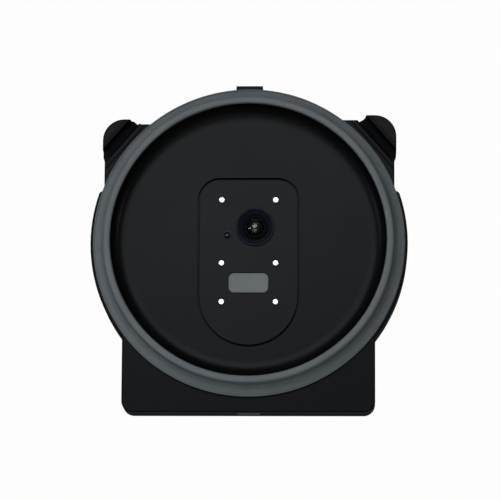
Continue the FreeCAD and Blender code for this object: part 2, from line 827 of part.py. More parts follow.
def bezel():
    """Ring round the lens: a rounded rim, then stray-light steps down to the barrel."""
    half_hole = barrel_head_radius + barrel_play
    top = floor_top + bezel_proud
    low = plate_bottom_z - bezel_flange_thickness
    foot = plate_bottom_z + bezel_land
    section = [
        (half_hole, low),
        (bezel_radius + bezel_flange, low),
        (bezel_radius + bezel_flange, plate_bottom_z),
        (bezel_radius, plate_bottom_z),
        (bezel_radius, top - bezel_edge),
        (bezel_radius - bezel_edge, top),
    ]
    run = (bezel_radius - bezel_rim - half_hole) / bezel_steps
    drop = (top - foot) / bezel_steps
    for i in range(bezel_steps):
        x = bezel_radius - bezel_rim - i * run
        section.append((x, top - i * drop))
        section.append((x - bezel_step_draft, top - (i + 1) * drop))
    section.append((half_hole, foot))
    return moved(revolve(section), lens_x, lens_y)


def lens_barrel():
    ring_low = barrel_top - retaining_ring_height
    glass_low = ring_low - front_glass_thickness - glass_seat
    section = [
        (barrel_bore - barrel_toe, barrel_bottom),
        (barrel_thread_radius, barrel_bottom),
        (barrel_thread_radius, head_bottom),
        (barrel_head_radius, head_bottom),
        (barrel_head_radius, barrel_top - barrel_edge),
        (barrel_head_radius - barrel_edge, barrel_top),
        (barrel_head_radius - retaining_ring_wall + glass_play, barrel_top),
        (barrel_head_radius - retaining_ring_wall + glass_play, ring_low),
        (glass_radius + glass_play, ring_low),
        (glass_radius + glass_play, glass_low),
        (barrel_bore, glass_low),
        (barrel_bore, barrel_bottom + barrel_toe),
        (barrel_bore - barrel_toe, barrel_bottom + barrel_toe),
    ]
    barrel = moved(revolve(section), lens_x, lens_y)
    notches = []
    for i in range(grip_count):
        a = 2 * math.pi * i / grip_count
        notches.append(disc(grip_radius, head_bottom + grip_start, barrel_top - grip_start,
                            lens_x + barrel_head_radius * math.cos(a),
                            lens_y + barrel_head_radius * math.sin(a)))
    return barrel.cut(notches)


def glass_disc(radius, low, thickness, crown, hollow, land=0.0):
    """Lens whose upper face bulges by crown inside a flat land and whose lower one is hollow."""
    top = low + thickness
    section = [(0, low + hollow)]
    if hollow > 0:
        rim = radius * 0.9
        section.append(cap_middle(rim, hollow, low) + (rim, low))
    section += [(radius, low), (radius, top)]
    if land > 0:
        section.append((radius - land, top))
    if crown > 0:
        section.append(cap_middle(radius - land, crown, top) + (0, top + crown))
    else:
        section.append((0, top))
    return moved(revolve(section), lens_x, lens_y)


def lens_elements():
    ring_low = barrel_top - retaining_ring_height
    front_low = ring_low - front_glass_thickness - glass_seat
    middle_low = front_low - lens_spacing - middle_lens_thickness
    rear_low = barrel_bottom + barrel_toe
    rear_top = rear_low + rear_lens_thickness
    return {
        "front_lens": glass_disc(glass_radius, front_low, front_glass_thickness, glass_crown,
                                 glass_hollow),
        "middle_lens": glass_disc(middle_lens_radius, middle_low, middle_lens_thickness, 0,
                                  middle_lens_hollow),
        "rear_lens": glass_disc(rear_lens_radius, rear_low, rear_lens_thickness, rear_lens_crown,
                                0, lens_land),
        "lens_spacer": tube(middle_lens_radius, middle_lens_radius - lens_land, rear_top, middle_low,
                            lens_x, lens_y),
    }


def retaining_ring():
    low = barrel_top - retaining_ring_height
    outer = barrel_head_radius - retaining_ring_wall
    inner = glass_radius - glass_hold
    ring = tube(outer, inner, low, barrel_top, lens_x, lens_y)
    slots = []
    for side in (-1, 1):
        middle = lens_x + side * (outer + inner) / 2
        slots.append(box(middle - key_slot, middle + key_slot, lens_y - key_slot, lens_y + key_slot,
                         low + retaining_ring_height / 2, barrel_top + 1))
    return ring.cut(slots)


def lock_ring():
    ring = tube(lock_ring_radius, barrel_thread_radius + thread_play, lock_ring_bottom, lock_ring_top,
                lens_x, lens_y)
    notches = []
    for i in range(lock_notch_count):
        a = 2 * math.pi * i / lock_notch_count
        notch = box(lock_ring_radius - lock_notch_depth, lock_ring_radius + 1, -1.0, 1.0,
                    lock_ring_bottom - 1, lock_ring_top + 1)
        notch.rotate(Vector(0, 0, 0), UP, math.degrees(a))
        notches.append(moved(notch, lens_x, lens_y))
    return ring.cut(notches)


def holder_points():
    reach = holder_base / 2 + holder_ear / 2
    return [(lens_x - reach, lens_y), (lens_x + reach, lens_y)]


def lens_holder():
    low = sensor_board_top
    base = raise_face(rounded_rectangle(holder_base, holder_base, holder_corner, lens_x, lens_y),
                      low, low + holder_base_thickness + holder_step)
    pieces = [base, disc(holder_tube_radius, low, holder_top, lens_x, lens_y)]
    for x, y in holder_points():
        pieces.append(disc(holder_ear, low, low + holder_base_thickness, x, y))
    body = joined(pieces)
    half = sensor_size / 2 + chamber_play
    bore_low = filter_z + filter_thickness + glass_play
    chamber = box(lens_x - half, lens_x + half, lens_y - half, lens_y + half, low - 1, filter_z)
    seat = disc(filter_radius + glass_play, filter_z, bore_low, lens_x, lens_y)
    bore = disc(barrel_thread_radius + thread_play, bore_low, holder_top + 1, lens_x, lens_y)
    cuts = [chamber, seat, bore]
    for x, y in holder_points():
        cuts.append(disc(tiny_screw_radius + board_hole_play, low - 1, holder_top, x, y))
    return body.cut(cuts)


def sensor_board_points():
    dx = sensor_board_width / 2 - board_screw_inset
    dy = sensor_board_height / 2 - board_screw_inset
    return [(sensor_board_x + sx * dx, sensor_board_y + sy * dy) for sx in (-1, 1) for sy in (-1, 1)]


def main_board_points():
    dx = main_board_width / 2 - board_screw_inset
    return [(sx * dx, y) for sx in (-1, 1)
            for y in (main_board_top - board_screw_inset, main_board_bottom + board_screw_inset)]


def circuit_board(width, height, x, y, z, holes):
    board = raise_face(rounded_rectangle(width, height, board_corner, x, y), z, z + board_thickness)
    return board.cut([disc(tiny_screw_radius + board_hole_play, z - 1, z + board_thickness + 1, hx, hy)
                      for hx, hy in holes])


def board_screws(points, z):
    return Part.makeCompound([
        screw(tiny_screw_radius - thread_bite, tiny_head_radius, tiny_head_height, x, y, z,
              board_thickness + board_screw_grip) for x, y in points])


def holder_screws():
    low = sensor_board_top + holder_base_thickness
    return Part.makeCompound([
        screw(tiny_screw_radius - thread_bite, tiny_head_radius, tiny_head_height, x, y, low,
              holder_base_thickness + board_thickness) for x, y in holder_points()])


def light_guide():
    shoulder_top = plate_bottom_z
    top = floor_top + light_dome_height
    foot = sensor_board_top + light_chip_height + light_play
    section = [
        (0, foot),
        (light_guide_radius, foot),
        (light_guide_radius, shoulder_top - light_flange_thickness),
        (light_flange_radius, shoulder_top - light_flange_thickness),
        (light_flange_radius, shoulder_top),
        (light_dome_radius, shoulder_top),
        (light_dome_radius, floor_top),
        cap_middle(light_dome_radius, light_dome_height, floor_top) + (0, top),
    ]
    return moved(revolve(section), light_x, light_y)


def button_outline(margin):
    return rounded_rectangle(button_width + 2 * margin, button_height + 2 * margin,
                             button_corner + margin, 0, button_y)


def power_button():
    top = floor_top + button_proud
    flange_top = plate_bottom_z - button_play
    flange_low = flange_top - button_flange_thickness
    key = raise_face(button_outline(0), flange_low, top)
    rim = [e for e in key.Edges
           if abs(e.BoundBox.ZMin - top) < 1e-6 and abs(e.BoundBox.ZMax - top) < 1e-6]
    key = key.makeFillet(button_edge, rim)
    flange = raise_face(button_outline(button_gap + button_flange), flange_low, flange_top)
    press = disc(button_press, switch_top(), flange_low + button_play, 0, button_y)
    return joined([key, flange, press])


def switch_top():
    return main_board_top_z + switch_height + switch_stem_height


def button_switch():
    """Body of the key's switch, with the well that its stem sinks into."""
    body = raise_face(rounded_rectangle(switch_size, switch_size, switch_corner, 0, button_y),
                      main_board_top_z, main_board_top_z + switch_height)
    well = disc(switch_stem_radius + switch_well_play,
                main_board_top_z + switch_height - button_travel - switch_well_spare,
                main_board_top_z + switch_height + 1, 0, button_y)
    return body.cut(well)


def switch_stem():
    return disc(switch_stem_radius, main_board_top_z + switch_height - switch_stem_root,
                switch_top(), 0, button_y)


def lead_y():
    return main_board_top - lead_drop


def lead_z():
    return main_board_top_z + lead_radius + lead_lift


def battery_holder(side):
    x = side * cell_x
    low = cover_thickness + cover_rib_height
    high = low + holder_wall + cell_radius
    half = cell_radius + cell_play + holder_wall
    end = cell_length / 2 + spring_gap + holder_wall
    cradle = box(x - half, x + half, cell_y - end, cell_y + end, low, high)
    bay = Part.makeCylinder(cell_radius + cell_play, cell_length + 2 * spring_gap,
                            Vector(x, cell_y - cell_length / 2 - spring_gap, cell_z()), Vector(0, 1, 0))
    bay_top = box(x - cell_radius - cell_play, x + cell_radius + cell_play,
                  cell_y - cell_length / 2 - spring_gap, cell_y + cell_length / 2 + spring_gap,
                  cell_z(), high + 1)
    return cradle.cut([bay, bay_top])


def cell_z():
    return cover_thickness + cover_rib_height + holder_wall + cell_radius + cell_lift


def battery_cell(side):
    x = side * cell_x
    start = cell_y - cell_length / 2
    body_length = cell_length - cell_cap_height
    body = Part.makeCylinder(cell_radius, body_length, Vector(x, start, cell_z()), Vector(0, 1, 0))
    cap = Part.makeCylinder(cell_cap_radius, cell_cap_height,
                            Vector(x, start + body_length, cell_z()), Vector(0, 1, 0))
    return body.fuse(cap)


def battery_contacts():
    """A spring plate at one end of each cell and a flat plate at the other."""
    pieces = []
    for side in (-1, 1):
        x = side * cell_x
        back = cell_y - cell_length / 2 - spring_gap
        front = cell_y + cell_length / 2 + spring_gap
        low = cell_z() - contact_half
        high = cell_z() + contact_half
        plate = box(x - contact_half, x + contact_half, back, back + contact_thickness, low, high)
        turns = [Part.makeCylinder(spring_radius - spring_taper * i, spring_pitch,
                                   Vector(x, back + contact_thickness + spring_pitch * i, cell_z()),
                                   Vector(0, 1, 0)) for i in range(spring_turns)]
        pieces.append(plate.fuse(turns))
        flat = box(x - contact_half, x + contact_half, front - contact_thickness, front, low, high)
        nub_start = front - spring_gap + contact_gap
        nub = Part.makeCylinder(contact_nub_radius, front - contact_thickness / 2 - nub_start,
                                Vector(x, nub_start, cell_z()), Vector(0, 1, 0))
        pieces.append(flat.fuse(nub))
    return Part.makeCompound(pieces)


def battery_leads():
    leads = []
    for side in (-1, 1):
        start = side * (main_board_width / 2 - lead_start)
        end = side * (cell_x - cell_radius - cell_play - holder_wall - contact_gap)
        for step in (0, lead_pitch):
            leads.append(Part.makeCylinder(lead_radius, abs(end - start),
                                           Vector(start, lead_y() + step, lead_z()),
                                           Vector(side, 0, 0)))
    return Part.makeCompound(leads)


def usb_post_x():
    return (-usb_board_width / 2 + board_screw_inset - 1, usb_board_width / 2 - board_screw_inset + 1)


def usb_post_y():
    return port_front() + usb_board_depth - 3.0


def usb_board():
    y = port_front() + port_lead + board_play + usb_board_depth / 2
    return circuit_board(usb_board_width, usb_board_depth, 0, y, usb_board_z,
                         [(x, usb_post_y()) for x in usb_post_x()])


def usb_port():
    y0 = port_front() + 0.2
    radius = port_height / 2 - 0.01
    outer = rounded_rectangle(port_width, port_height, radius)
    inner = rounded_rectangle(port_width - 2 * port_shell, port_height - 2 * port_shell,
                              radius - port_shell)
    outer_solid = outer.extrude(Vector(0, 0, port_depth))
    inner_solid = inner.extrude(Vector(0, 0, port_depth - port_back))
    width, thickness = port_tongue
    tongue = box(-width / 2, width / 2, -thickness / 2, thickness / 2, port_tongue_start, port_depth)
    port = outer_solid.cut(inner_solid).fuse(tongue)
    port.rotate(Vector(0, 0, 0), Vector(1, 0, 0), -90)
    return moved(port, 0, y0, port_z)


def port_plug():
    """Soft plug over the charging port; it swings out about its rounded upper edge."""
    z0 = port_z - plug_height / 2
    z1 = port_z + plug_height / 2
    front = -skirt_reach
    back = front + plug_thickness
    plate = box(-plug_width / 2, plug_width / 2, front, back, z0, z1 - plug_radius)
    corners = [e for e in plate.Edges if abs(e.BoundBox.YLength - plug_thickness) < 1e-6
               and e.BoundBox.ZMax < port_z]
    plate = plate.makeFillet(plug_corner, corners)
    bead = Part.makeCylinder(plug_radius, plug_width,
                             Vector(-plug_width / 2, front + plug_radius, z1 - plug_radius),
                             Vector(1, 0, 0))
    stub = raise_face(rounded_rectangle(plug_tongue_width, plug_tongue_height,
                                        plug_tongue_height / 2 - 0.01), 0, plug_tongue_depth + sink)
    stub.rotate(Vector(0, 0, 0), Vector(1, 0, 0), -90)
    return joined([plate, bead, moved(stub, 0, back - sink, port_z)])


def ribbon_z():
    return usb_board_z + board_thickness


def usb_ribbon():
    """Flat lead from the charging board up to the underside of the main board."""
    z0 = ribbon_z()
    z1 = z0 + ribbon_thickness
    start = port_front() + usb_board_depth - ribbon_land
    end = main_board_bottom + ribbon_reach
    flat = box(-ribbon_width / 2, ribbon_width / 2, start, end, z0, z1)
    riser = box(-ribbon_width / 2, ribbon_width / 2, end - ribbon_thickness, end, z0, main_board_z)
    return joined([flat, riser])


def sensor_flex():
    """Thin flex that joins the two boards, folded over the main board's upper edge."""
    half = flex_width / 2
    sensor_edge = sensor_board_y - sensor_board_height / 2
    y1 = main_board_top + flex_gap
    low = sensor_board_top
    high = main_board_top_z
    foot = box(-half, half, y1, sensor_edge + flex_land, low, low + flex_thickness)
    riser = box(-half, half, y1, y1 + flex_thickness, low, high + flex_thickness)
    top = box(-half, half, main_board_top - flex_land, y1 + flex_thickness, high,
              high + flex_thickness)
    return joined([foot, riser, top])


def chip(size, x, y, z):
    width, length, height = size
    return box(x - width / 2, x + width / 2, y - length / 2, y + length / 2, z, z + height)


def all_parts():
    parts = {
        "outer_shell": outer_shell(),
        "rear_cover": rear_cover(),
        "rear_cover_screws": rear_cover_screws(),
        "inner_dish": inner_dish(),
        "dish_screws": dish_screws(),
        "drum_gasket": drum_gasket(),
        "camera_plate": camera_plate(),
        "plate_seal": plate_seal(),
        "plate_screws": plate_screws(),
        "module_tray": module_tray(),
        "lens_bezel": bezel(),
        "lens_barrel": lens_barrel(),
        "lens_retaining_ring": retaining_ring(),
        "lock_ring": lock_ring(),
        "lens_holder": lens_holder(),
        "holder_screws": holder_screws(),
        "infrared_filter": disc(filter_radius, filter_z, filter_z + filter_thickness, lens_x, lens_y),
        "image_sensor": chip((sensor_size, sensor_size, sensor_height), lens_x, lens_y,
                             sensor_board_top),
        "sensor_board": circuit_board(sensor_board_width, sensor_board_height, sensor_board_x,
                                      sensor_board_y, sensor_board_z,
                                      sensor_board_points() + holder_points()),
        "sensor_board_screws": board_screws(sensor_board_points(), sensor_board_top),
        "light_guide": light_guide(),
        "light_sensor_chip": chip((light_chip_size, light_chip_size, light_chip_height),
                                  light_x, light_y, sensor_board_top),
        "main_board": circuit_board(main_board_width, main_board_top - main_board_bottom, 0,
                                    (main_board_top + main_board_bottom) / 2, main_board_z,
                                    main_board_points()),
        "main_board_screws": board_screws(main_board_points(), main_board_top_z),
        "power_button": power_button(),
        "button_switch": button_switch(),
        "switch_stem": switch_stem(),
        "processor_chip": chip(processor_size, 0, chip_row_y, main_board_top_z),
        "memory_chip": chip(memory_size, -(processor_size[0] + memory_size[0]) / 2 - memory_gap,
                            chip_row_y, main_board_top_z),
        "wireless_module": chip(wireless_size, 0, wireless_y, main_board_top_z),
        "sensor_flex": sensor_flex(),
        "battery_contacts": battery_contacts(),
        "battery_leads": battery_leads(),
        "usb_board": usb_board(),
        "usb_board_screws": board_screws([(x, usb_post_y()) for x in usb_post_x()],
                                         usb_board_z + board_thickness),
        "usb_port": usb_port(),
        "usb_ribbon": usb_ribbon(),
        "port_plug": port_plug(),
    }
    parts.update(lens_elements())
    for name, side in (("left", -1), ("right", 1)):
        parts["battery_holder_" + name] = battery_holder(side)
        parts["battery_cell_" + name] = battery_cell(side)
    return parts


os.makedirs("parts", exist_ok=True)
for node, shape in all_parts().items():
    moved(shape, 0, ring_offset).exportStep("parts/" + node + ".step")
    print(node, len(shape.Solids), round(shape.Volume), shape.isValid())
print("drum centre in Y:", ring_offset)
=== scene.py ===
import json
import math

import bmesh
import bpy
from mathutils import Matrix, Vector


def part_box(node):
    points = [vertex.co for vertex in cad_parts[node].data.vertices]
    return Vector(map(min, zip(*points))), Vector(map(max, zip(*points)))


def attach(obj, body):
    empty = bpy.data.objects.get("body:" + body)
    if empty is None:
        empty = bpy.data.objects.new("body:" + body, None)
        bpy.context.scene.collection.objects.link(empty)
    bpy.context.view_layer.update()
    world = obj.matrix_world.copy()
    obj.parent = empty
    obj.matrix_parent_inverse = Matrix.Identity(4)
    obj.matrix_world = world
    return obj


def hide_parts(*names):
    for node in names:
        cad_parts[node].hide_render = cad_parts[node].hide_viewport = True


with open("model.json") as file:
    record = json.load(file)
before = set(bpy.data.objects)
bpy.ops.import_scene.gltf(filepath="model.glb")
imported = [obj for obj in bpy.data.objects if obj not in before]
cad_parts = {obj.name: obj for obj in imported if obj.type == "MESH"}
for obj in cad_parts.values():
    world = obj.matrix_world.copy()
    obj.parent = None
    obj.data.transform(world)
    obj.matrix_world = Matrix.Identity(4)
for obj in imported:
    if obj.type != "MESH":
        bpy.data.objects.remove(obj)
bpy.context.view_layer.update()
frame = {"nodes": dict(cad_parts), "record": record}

scene = bpy.context.scene
nodes = frame["nodes"]
print("frame loaded:", len(nodes), "nodes")


def middleOf(box):
    low, high = box
    return (low.x + high.x) / 2, (low.y + high.y) / 2, 0.0


# where the drum's axis, the lens and the top of the plate are, from their own boxes
gasketLow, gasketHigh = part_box("drum_gasket")
drumCentre = middleOf((gasketLow, gasketHigh))
lensCentre = middleOf(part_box("lens_barrel"))
gasketRadius = (gasketHigh.x - gasketLow.x) / 2
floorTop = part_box("camera_plate")[1].z
slotOf = {part["node"]: part["material_slot"] for part in frame["record"]["subparts"]}
bodyOf = {node: body for body, members in frame["record"]["behaviour"]["bodies"].items()
          for node in members}


def addNode(tree, kind, values=None, **settings):
    node = tree.nodes.new(kind)
    for key, value in settings.items():
        setattr(node, key, value)
    for key, value in (values or {}).items():
        node.inputs[key].default_value = value
    return node


def wire(tree, start, end):
    tree.links.new(start, end)


def mathNode(tree, operation, a, b=None, clamp=False):
    node = addNode(tree, "ShaderNodeMath", operation=operation, use_clamp=clamp)
    for socket, value in zip(node.inputs, (a, b)):
        if value is None:
            continue
        if isinstance(value, (int, float)):
            socket.default_value = value
        else:
            wire(tree, value, socket)
    return node.outputs[0]


def newGroup(name, inputs, outputs):
    # each use of a group sets all its inputs
    group = bpy.data.node_groups.new(name, "ShaderNodeTree")
    for way, labels in (("INPUT", inputs), ("OUTPUT", outputs)):
        for label in labels:
            kind = "Vector" if label == "Centre" else "Float"
            group.interface.new_socket(name=label, in_out=way, socket_type="NodeSocket" + kind)
    return group, group.nodes.new("NodeGroupInput"), group.nodes.new("NodeGroupOutput")


grainNoise = {"fine": {"Detail": 3.0, "Roughness": 0.6},
              "slow": {"Detail": 4.0, "Roughness": 0.55, "Distortion": 0.4}}


def buildMouldGrain(noise):
    # the fine pits of a spark-eroded mould, with slow clouds over them
    group, start, end = newGroup("mouldGrain", ("Grain Size", "Cloud Size", "Cloud Share"),
                                 ("Height", "Clouds"))
    place = addNode(group, "ShaderNodeTexCoord")
    fine = addNode(group, "ShaderNodeTexNoise", noise["fine"])
    slow = addNode(group, "ShaderNodeTexNoise", noise["slow"])
    wire(group, place.outputs["Object"], fine.inputs["Vector"])
    wire(group, place.outputs["Object"], slow.inputs["Vector"])
    wire(group, start.outputs["Grain Size"], fine.inputs["Scale"])
    wire(group, start.outputs["Cloud Size"], slow.inputs["Scale"])
    mixed = addNode(group, "ShaderNodeMix", data_type="FLOAT")
    wire(group, start.outputs["Cloud Share"], mixed.inputs["Factor"])
    wire(group, fine.outputs["Fac"], mixed.inputs["A"])
    wire(group, slow.outputs["Fac"], mixed.inputs["B"])
    wire(group, mixed.outputs["Result"], end.inputs["Height"])
    wire(group, slow.outputs["Fac"], end.inputs["Clouds"])
    return group


rubShape = {"samples": 6, "gain": 5.0, "patches": {"Scale": 180.0, "Detail": 3.0},
            "contrast": {"From Min": 0.35, "From Max": 0.65}}


def buildEdgeRub(shape):
    # how far a point is on a rounded or rubbed edge: 0 on flats, 1 on sharp edges
    group, start, end = newGroup("edgeRub", ("Width", "Patchiness"), ("Mask",))
    bent = addNode(group, "ShaderNodeBevel", samples=shape["samples"])
    plain = addNode(group, "ShaderNodeNewGeometry")
    wire(group, start.outputs["Width"], bent.inputs["Radius"])
    dot = addNode(group, "ShaderNodeVectorMath", operation="DOT_PRODUCT")
    wire(group, bent.outputs["Normal"], dot.inputs[0])
    wire(group, plain.outputs["Normal"], dot.inputs[1])
    turn = mathNode(group, "SUBTRACT", 1.0, dot.outputs["Value"])
    gain = mathNode(group, "MULTIPLY", turn, shape["gain"], clamp=True)
    place = addNode(group, "ShaderNodeTexCoord")
    patches = addNode(group, "ShaderNodeTexNoise", shape["patches"])
    wire(group, place.outputs["Object"], patches.inputs["Vector"])
    spread = addNode(group, "ShaderNodeMapRange", shape["contrast"])
    wire(group, patches.outputs["Fac"], spread.inputs["Value"])
    mixed = addNode(group, "ShaderNodeMix", {"A": 1.0}, data_type="FLOAT")
    wire(group, start.outputs["Patchiness"], mixed.inputs["Factor"])
    wire(group, spread.outputs["Result"], mixed.inputs["B"])
    wire(group, mathNode(group, "MULTIPLY", gain, mixed.outputs["Result"]), end.inputs["Mask"])
    return group


speckRadius = 0.16      # share of a cell


def buildDust():
    # scattered pale specks of lint and powder
    group, start, end = newGroup("dust", ("Speck Size", "Amount"), ("Mask",))
    place = addNode(group, "ShaderNodeTexCoord")
    cells = addNode(group, "ShaderNodeTexVoronoi", {"Randomness": 1.0})
    wire(group, place.outputs["Object"], cells.inputs["Vector"])
    wire(group, start.outputs["Speck Size"], cells.inputs["Scale"])
    near = mathNode(group, "LESS_THAN", cells.outputs["Distance"], speckRadius)
    split = addNode(group, "ShaderNodeSeparateColor")
    wire(group, cells.outputs["Color"], split.inputs["Color"])
    chosen = mathNode(group, "LESS_THAN", split.outputs["Red"], start.outputs["Amount"])
    wire(group, mathNode(group, "MULTIPLY", near, chosen), end.inputs["Mask"])
    return group


def buildTurning():
    # fine concentric tool marks about an axis through Centre along Z
    group, start, end = newGroup("turning", ("Centre", "Pitch"), ("Height",))
    place = addNode(group, "ShaderNodeTexCoord")
    shift = addNode(group, "ShaderNodeVectorMath", operation="SUBTRACT")
    wire(group, place.outputs["Object"], shift.inputs[0])
    wire(group, start.outputs["Centre"], shift.inputs[1])
    flat = addNode(group, "ShaderNodeVectorMath", operation="MULTIPLY")
    flat.inputs[1].default_value = (1.0, 1.0, 0.0)
    wire(group, shift.outputs["Vector"], flat.inputs[0])
    length = addNode(group, "ShaderNodeVectorMath", operation="LENGTH")
    wire(group, flat.outputs["Vector"], length.inputs[0])
    turns = mathNode(group, "MULTIPLY", length.outputs["Value"], start.outputs["Pitch"])
    wire(group, mathNode(group, "SINE", turns), end.inputs["Height"])
    return group


mouldGrain = buildMouldGrain(grainNoise)
edgeRub = buildEdgeRub(rubShape)
dust = buildDust()
turning = buildTurning()


def placeGroup(tree, group, values):
    node = tree.nodes.new("ShaderNodeGroup")
    node.node_tree = group
    for key, value in values.items():
        node.inputs[key].default_value = value
    return node


def mixColor(tree, factor, a, b):
    node = addNode(tree, "ShaderNodeMix", data_type="RGBA")
    sockets = [s for s in node.inputs if s.type == "RGBA"]
    wire(tree, factor, node.inputs["Factor"])
    for socket, value in zip(sockets, (a, b)):
        if hasattr(value, "links"):
            wire(tree, value, socket)
        else:
            socket.default_value = (*value, 1.0)
    return [s for s in node.outputs if s.type == "RGBA"][0]


def startMaterial(name):
    material = bpy.data.materials.new(name)
    material.use_nodes = True
    tree = material.node_tree
    shader = tree.nodes["Principled BSDF"]
    return material, tree, shader


def placeGrain(tree, look):
    return placeGroup(tree, mouldGrain, {"Grain Size": look["grainSize"],
                                         "Cloud Size": look["cloudSize"],
                                         "Cloud Share": look["cloudShare"]})


def placeDust(tree, look):
    return placeGroup(tree, dust, {"Speck Size": look["speckSize"], "Amount": look["dustAmount"]})


def scaled(tree, value, factor):
    return mathNode(tree, "MULTIPLY", value, factor)


def rubbed(tree, look, colour):
    # the same colour with its edges worn to the edge colour
    rub = placeGroup(tree, edgeRub, {"Width": look["edgeWidth"], "Patchiness": look["patchiness"]})
    worn = scaled(tree, rub.outputs["Mask"], look["edgeShare"])
    return mixColor(tree, worn, colour, look["edge"])


def cloudyRange(tree, grain, span, start=0.0, end=1.0):
    # the clouds from start to end, spread over the two values of span
    spread = addNode(tree, "ShaderNodeMapRange", {"From Min": start, "From Max": end,
                                                  "To Min": span[0], "To Max": span[1]})
    wire(tree, grain.outputs["Clouds"], spread.inputs["Value"])
    return spread.outputs["Result"]


def addBump(tree, shader, height, strength, distance):
    bump = addNode(tree, "ShaderNodeBump", {"Strength": strength, "Distance": distance})
    wire(tree, height, bump.inputs["Height"])
    wire(tree, bump.outputs["Normal"], shader.inputs["Normal"])


def mouldedPlastic(name, look):
    # matte or satin moulded plastic with grain, slow clouds, rubbed edges and a little dust
    material, tree, shader = startMaterial(name)
    grain = placeGrain(tree, look)
    specks = placeDust(tree, look)
    clouds = cloudyRange(tree, grain, (0.0, 1.0), look["cloudFrom"], look["cloudTo"])
    edged = rubbed(tree, look, mixColor(tree, clouds, look["dark"], look["light"]))
    dusted = scaled(tree, specks.outputs["Mask"], look["dustShare"])
    dusty = mixColor(tree, dusted, edged, look["dust"])
    wire(tree, dusty, shader.inputs["Base Color"])
    rough = cloudyRange(tree, grain, (look["roughness"] - look["roughSway"],
                                      look["roughness"] + look["roughSway"]))
    if "mattBelow" in look:
        # coarser eroded texture low down, in the grooves and on the outer walls
        spot = addNode(tree, "ShaderNodeTexCoord")
        split = addNode(tree, "ShaderNodeSeparateXYZ")
        wire(tree, spot.outputs["Object"], split.inputs[0])
        deep = addNode(tree, "ShaderNodeMapRange", {
            "From Min": look["mattBelow"] - look["mattFade"], "From Max": look["mattBelow"],
            "To Min": look["mattRough"] - look["roughness"], "To Max": 0.0})
        wire(tree, split.outputs["Z"], deep.inputs["Value"])
        rough = mathNode(tree, "ADD", rough, deep.outputs["Result"])
    wire(tree, rough, shader.inputs["Roughness"])
    shader.inputs["Specular IOR Level"].default_value = look["gloss"]
    addBump(tree, shader, grain.outputs["Height"], look["bump"], look["bumpDepth"])
    return material


blackLook = {"grainSize": 1500.0, "cloudSize": 22.0, "cloudShare": 0.25, "cloudFrom": 0.3,
             "cloudTo": 0.7, "edgeWidth": 0.0005, "patchiness": 0.6, "speckSize": 520.0,
             "dustAmount": 0.02, "dark": (0.0016, 0.0018, 0.0024),
             "light": (0.0026, 0.0029, 0.0037), "edge": (0.012, 0.013, 0.015), "edgeShare": 0.35,
             "dust": (0.05, 0.05, 0.05), "dustShare": 0.25, "roughness": 0.31,
             "roughSway": 0.05, "gloss": 0.085, "bump": 0.35, "bumpDepth": 0.00012}
shellLook = dict(blackLook, gloss=0.070, mattBelow=0.0225, mattFade=0.004, mattRough=0.62)
dishLook = dict(blackLook, dark=(0.0018, 0.0019, 0.0021), light=(0.0028, 0.0029, 0.0032),
                roughness=0.30, grainSize=1300.0, gloss=0.09, bump=0.25)
plateLook = dict(dishLook, dark=(0.0024, 0.0025, 0.0028), light=(0.0034, 0.0036, 0.0040),
                 edgeWidth=0.0004, edgeShare=0.3, gloss=0.095)
siliconeLook = dict(blackLook, grainSize=700.0, cloudSize=40.0, cloudShare=0.4, edgeWidth=0.0007,
                    speckSize=380.0, dustAmount=0.05, dark=(0.102, 0.114, 0.117),
                    light=(0.121, 0.134, 0.137), edge=(0.16, 0.175, 0.175),
                    dust=(0.30, 0.30, 0.29), dustShare=0.35, roughness=0.62, gloss=0.35,
                    bump=0.3, bumpDepth=0.00015)
keyLook = dict(siliconeLook, dark=(0.135, 0.148, 0.145), light=(0.150, 0.163, 0.160),
               edge=(0.21, 0.225, 0.22), edgeShare=0.6, dustAmount=0.02)
foamLook = dict(blackLook, dark=(0.008, 0.008, 0.008), light=(0.014, 0.014, 0.014),
                grainSize=500.0, roughness=0.9, bump=0.8)
holderLook = dict(blackLook, dark=(0.012, 0.012, 0.013), light=(0.018, 0.018, 0.019),
                  roughness=0.45)
cellHolderLook = dict(holderLook, dark=(0.016, 0.016, 0.018))
chipLook = dict(blackLook, dark=(0.012, 0.012, 0.013), light=(0.016, 0.016, 0.017),
                roughness=0.4, grainSize=2500.0)
leadLook = dict(siliconeLook, dark=(0.30, 0.012, 0.010), light=(0.38, 0.020, 0.015),
                edge=(0.5, 0.08, 0.06), roughness=0.45)
sleeveLook = dict(blackLook, dark=(0.010, 0.060, 0.130), light=(0.014, 0.075, 0.160),
                  roughness=0.3, edge=(0.05, 0.14, 0.24))
filmLook = dict(blackLook, dark=(0.26, 0.085, 0.012), light=(0.34, 0.12, 0.018),
                roughness=0.28, edge=(0.45, 0.2, 0.05))

steelLook = {"grainSize": 2600.0, "cloudSize": 300.0, "cloudShare": 0.4, "edgeWidth": 0.00015,
             "patchiness": 0.3, "dark": (0.62, 0.63, 0.65), "light": (0.86, 0.87, 0.88),
             "edge": (0.95, 0.95, 0.95), "edgeShare": 1.0, "roughness": (0.22, 0.38),
             "bump": 0.15, "bumpDepth": 0.00005}


def brightSteel(name, look):
    # zinc-plated pressed steel with a faint brushed grain
    material, tree, shader = startMaterial(name)
    grain = placeGrain(tree, look)
    colour = mixColor(tree, grain.outputs["Clouds"], look["dark"], look["light"])
    wire(tree, rubbed(tree, look, colour), shader.inputs["Base Color"])
    wire(tree, cloudyRange(tree, grain, look["roughness"]), shader.inputs["Roughness"])
    shader.inputs["Metallic"].default_value = 1.0
    addBump(tree, shader, grain.outputs["Height"], look["bump"], look["bumpDepth"])
    return material


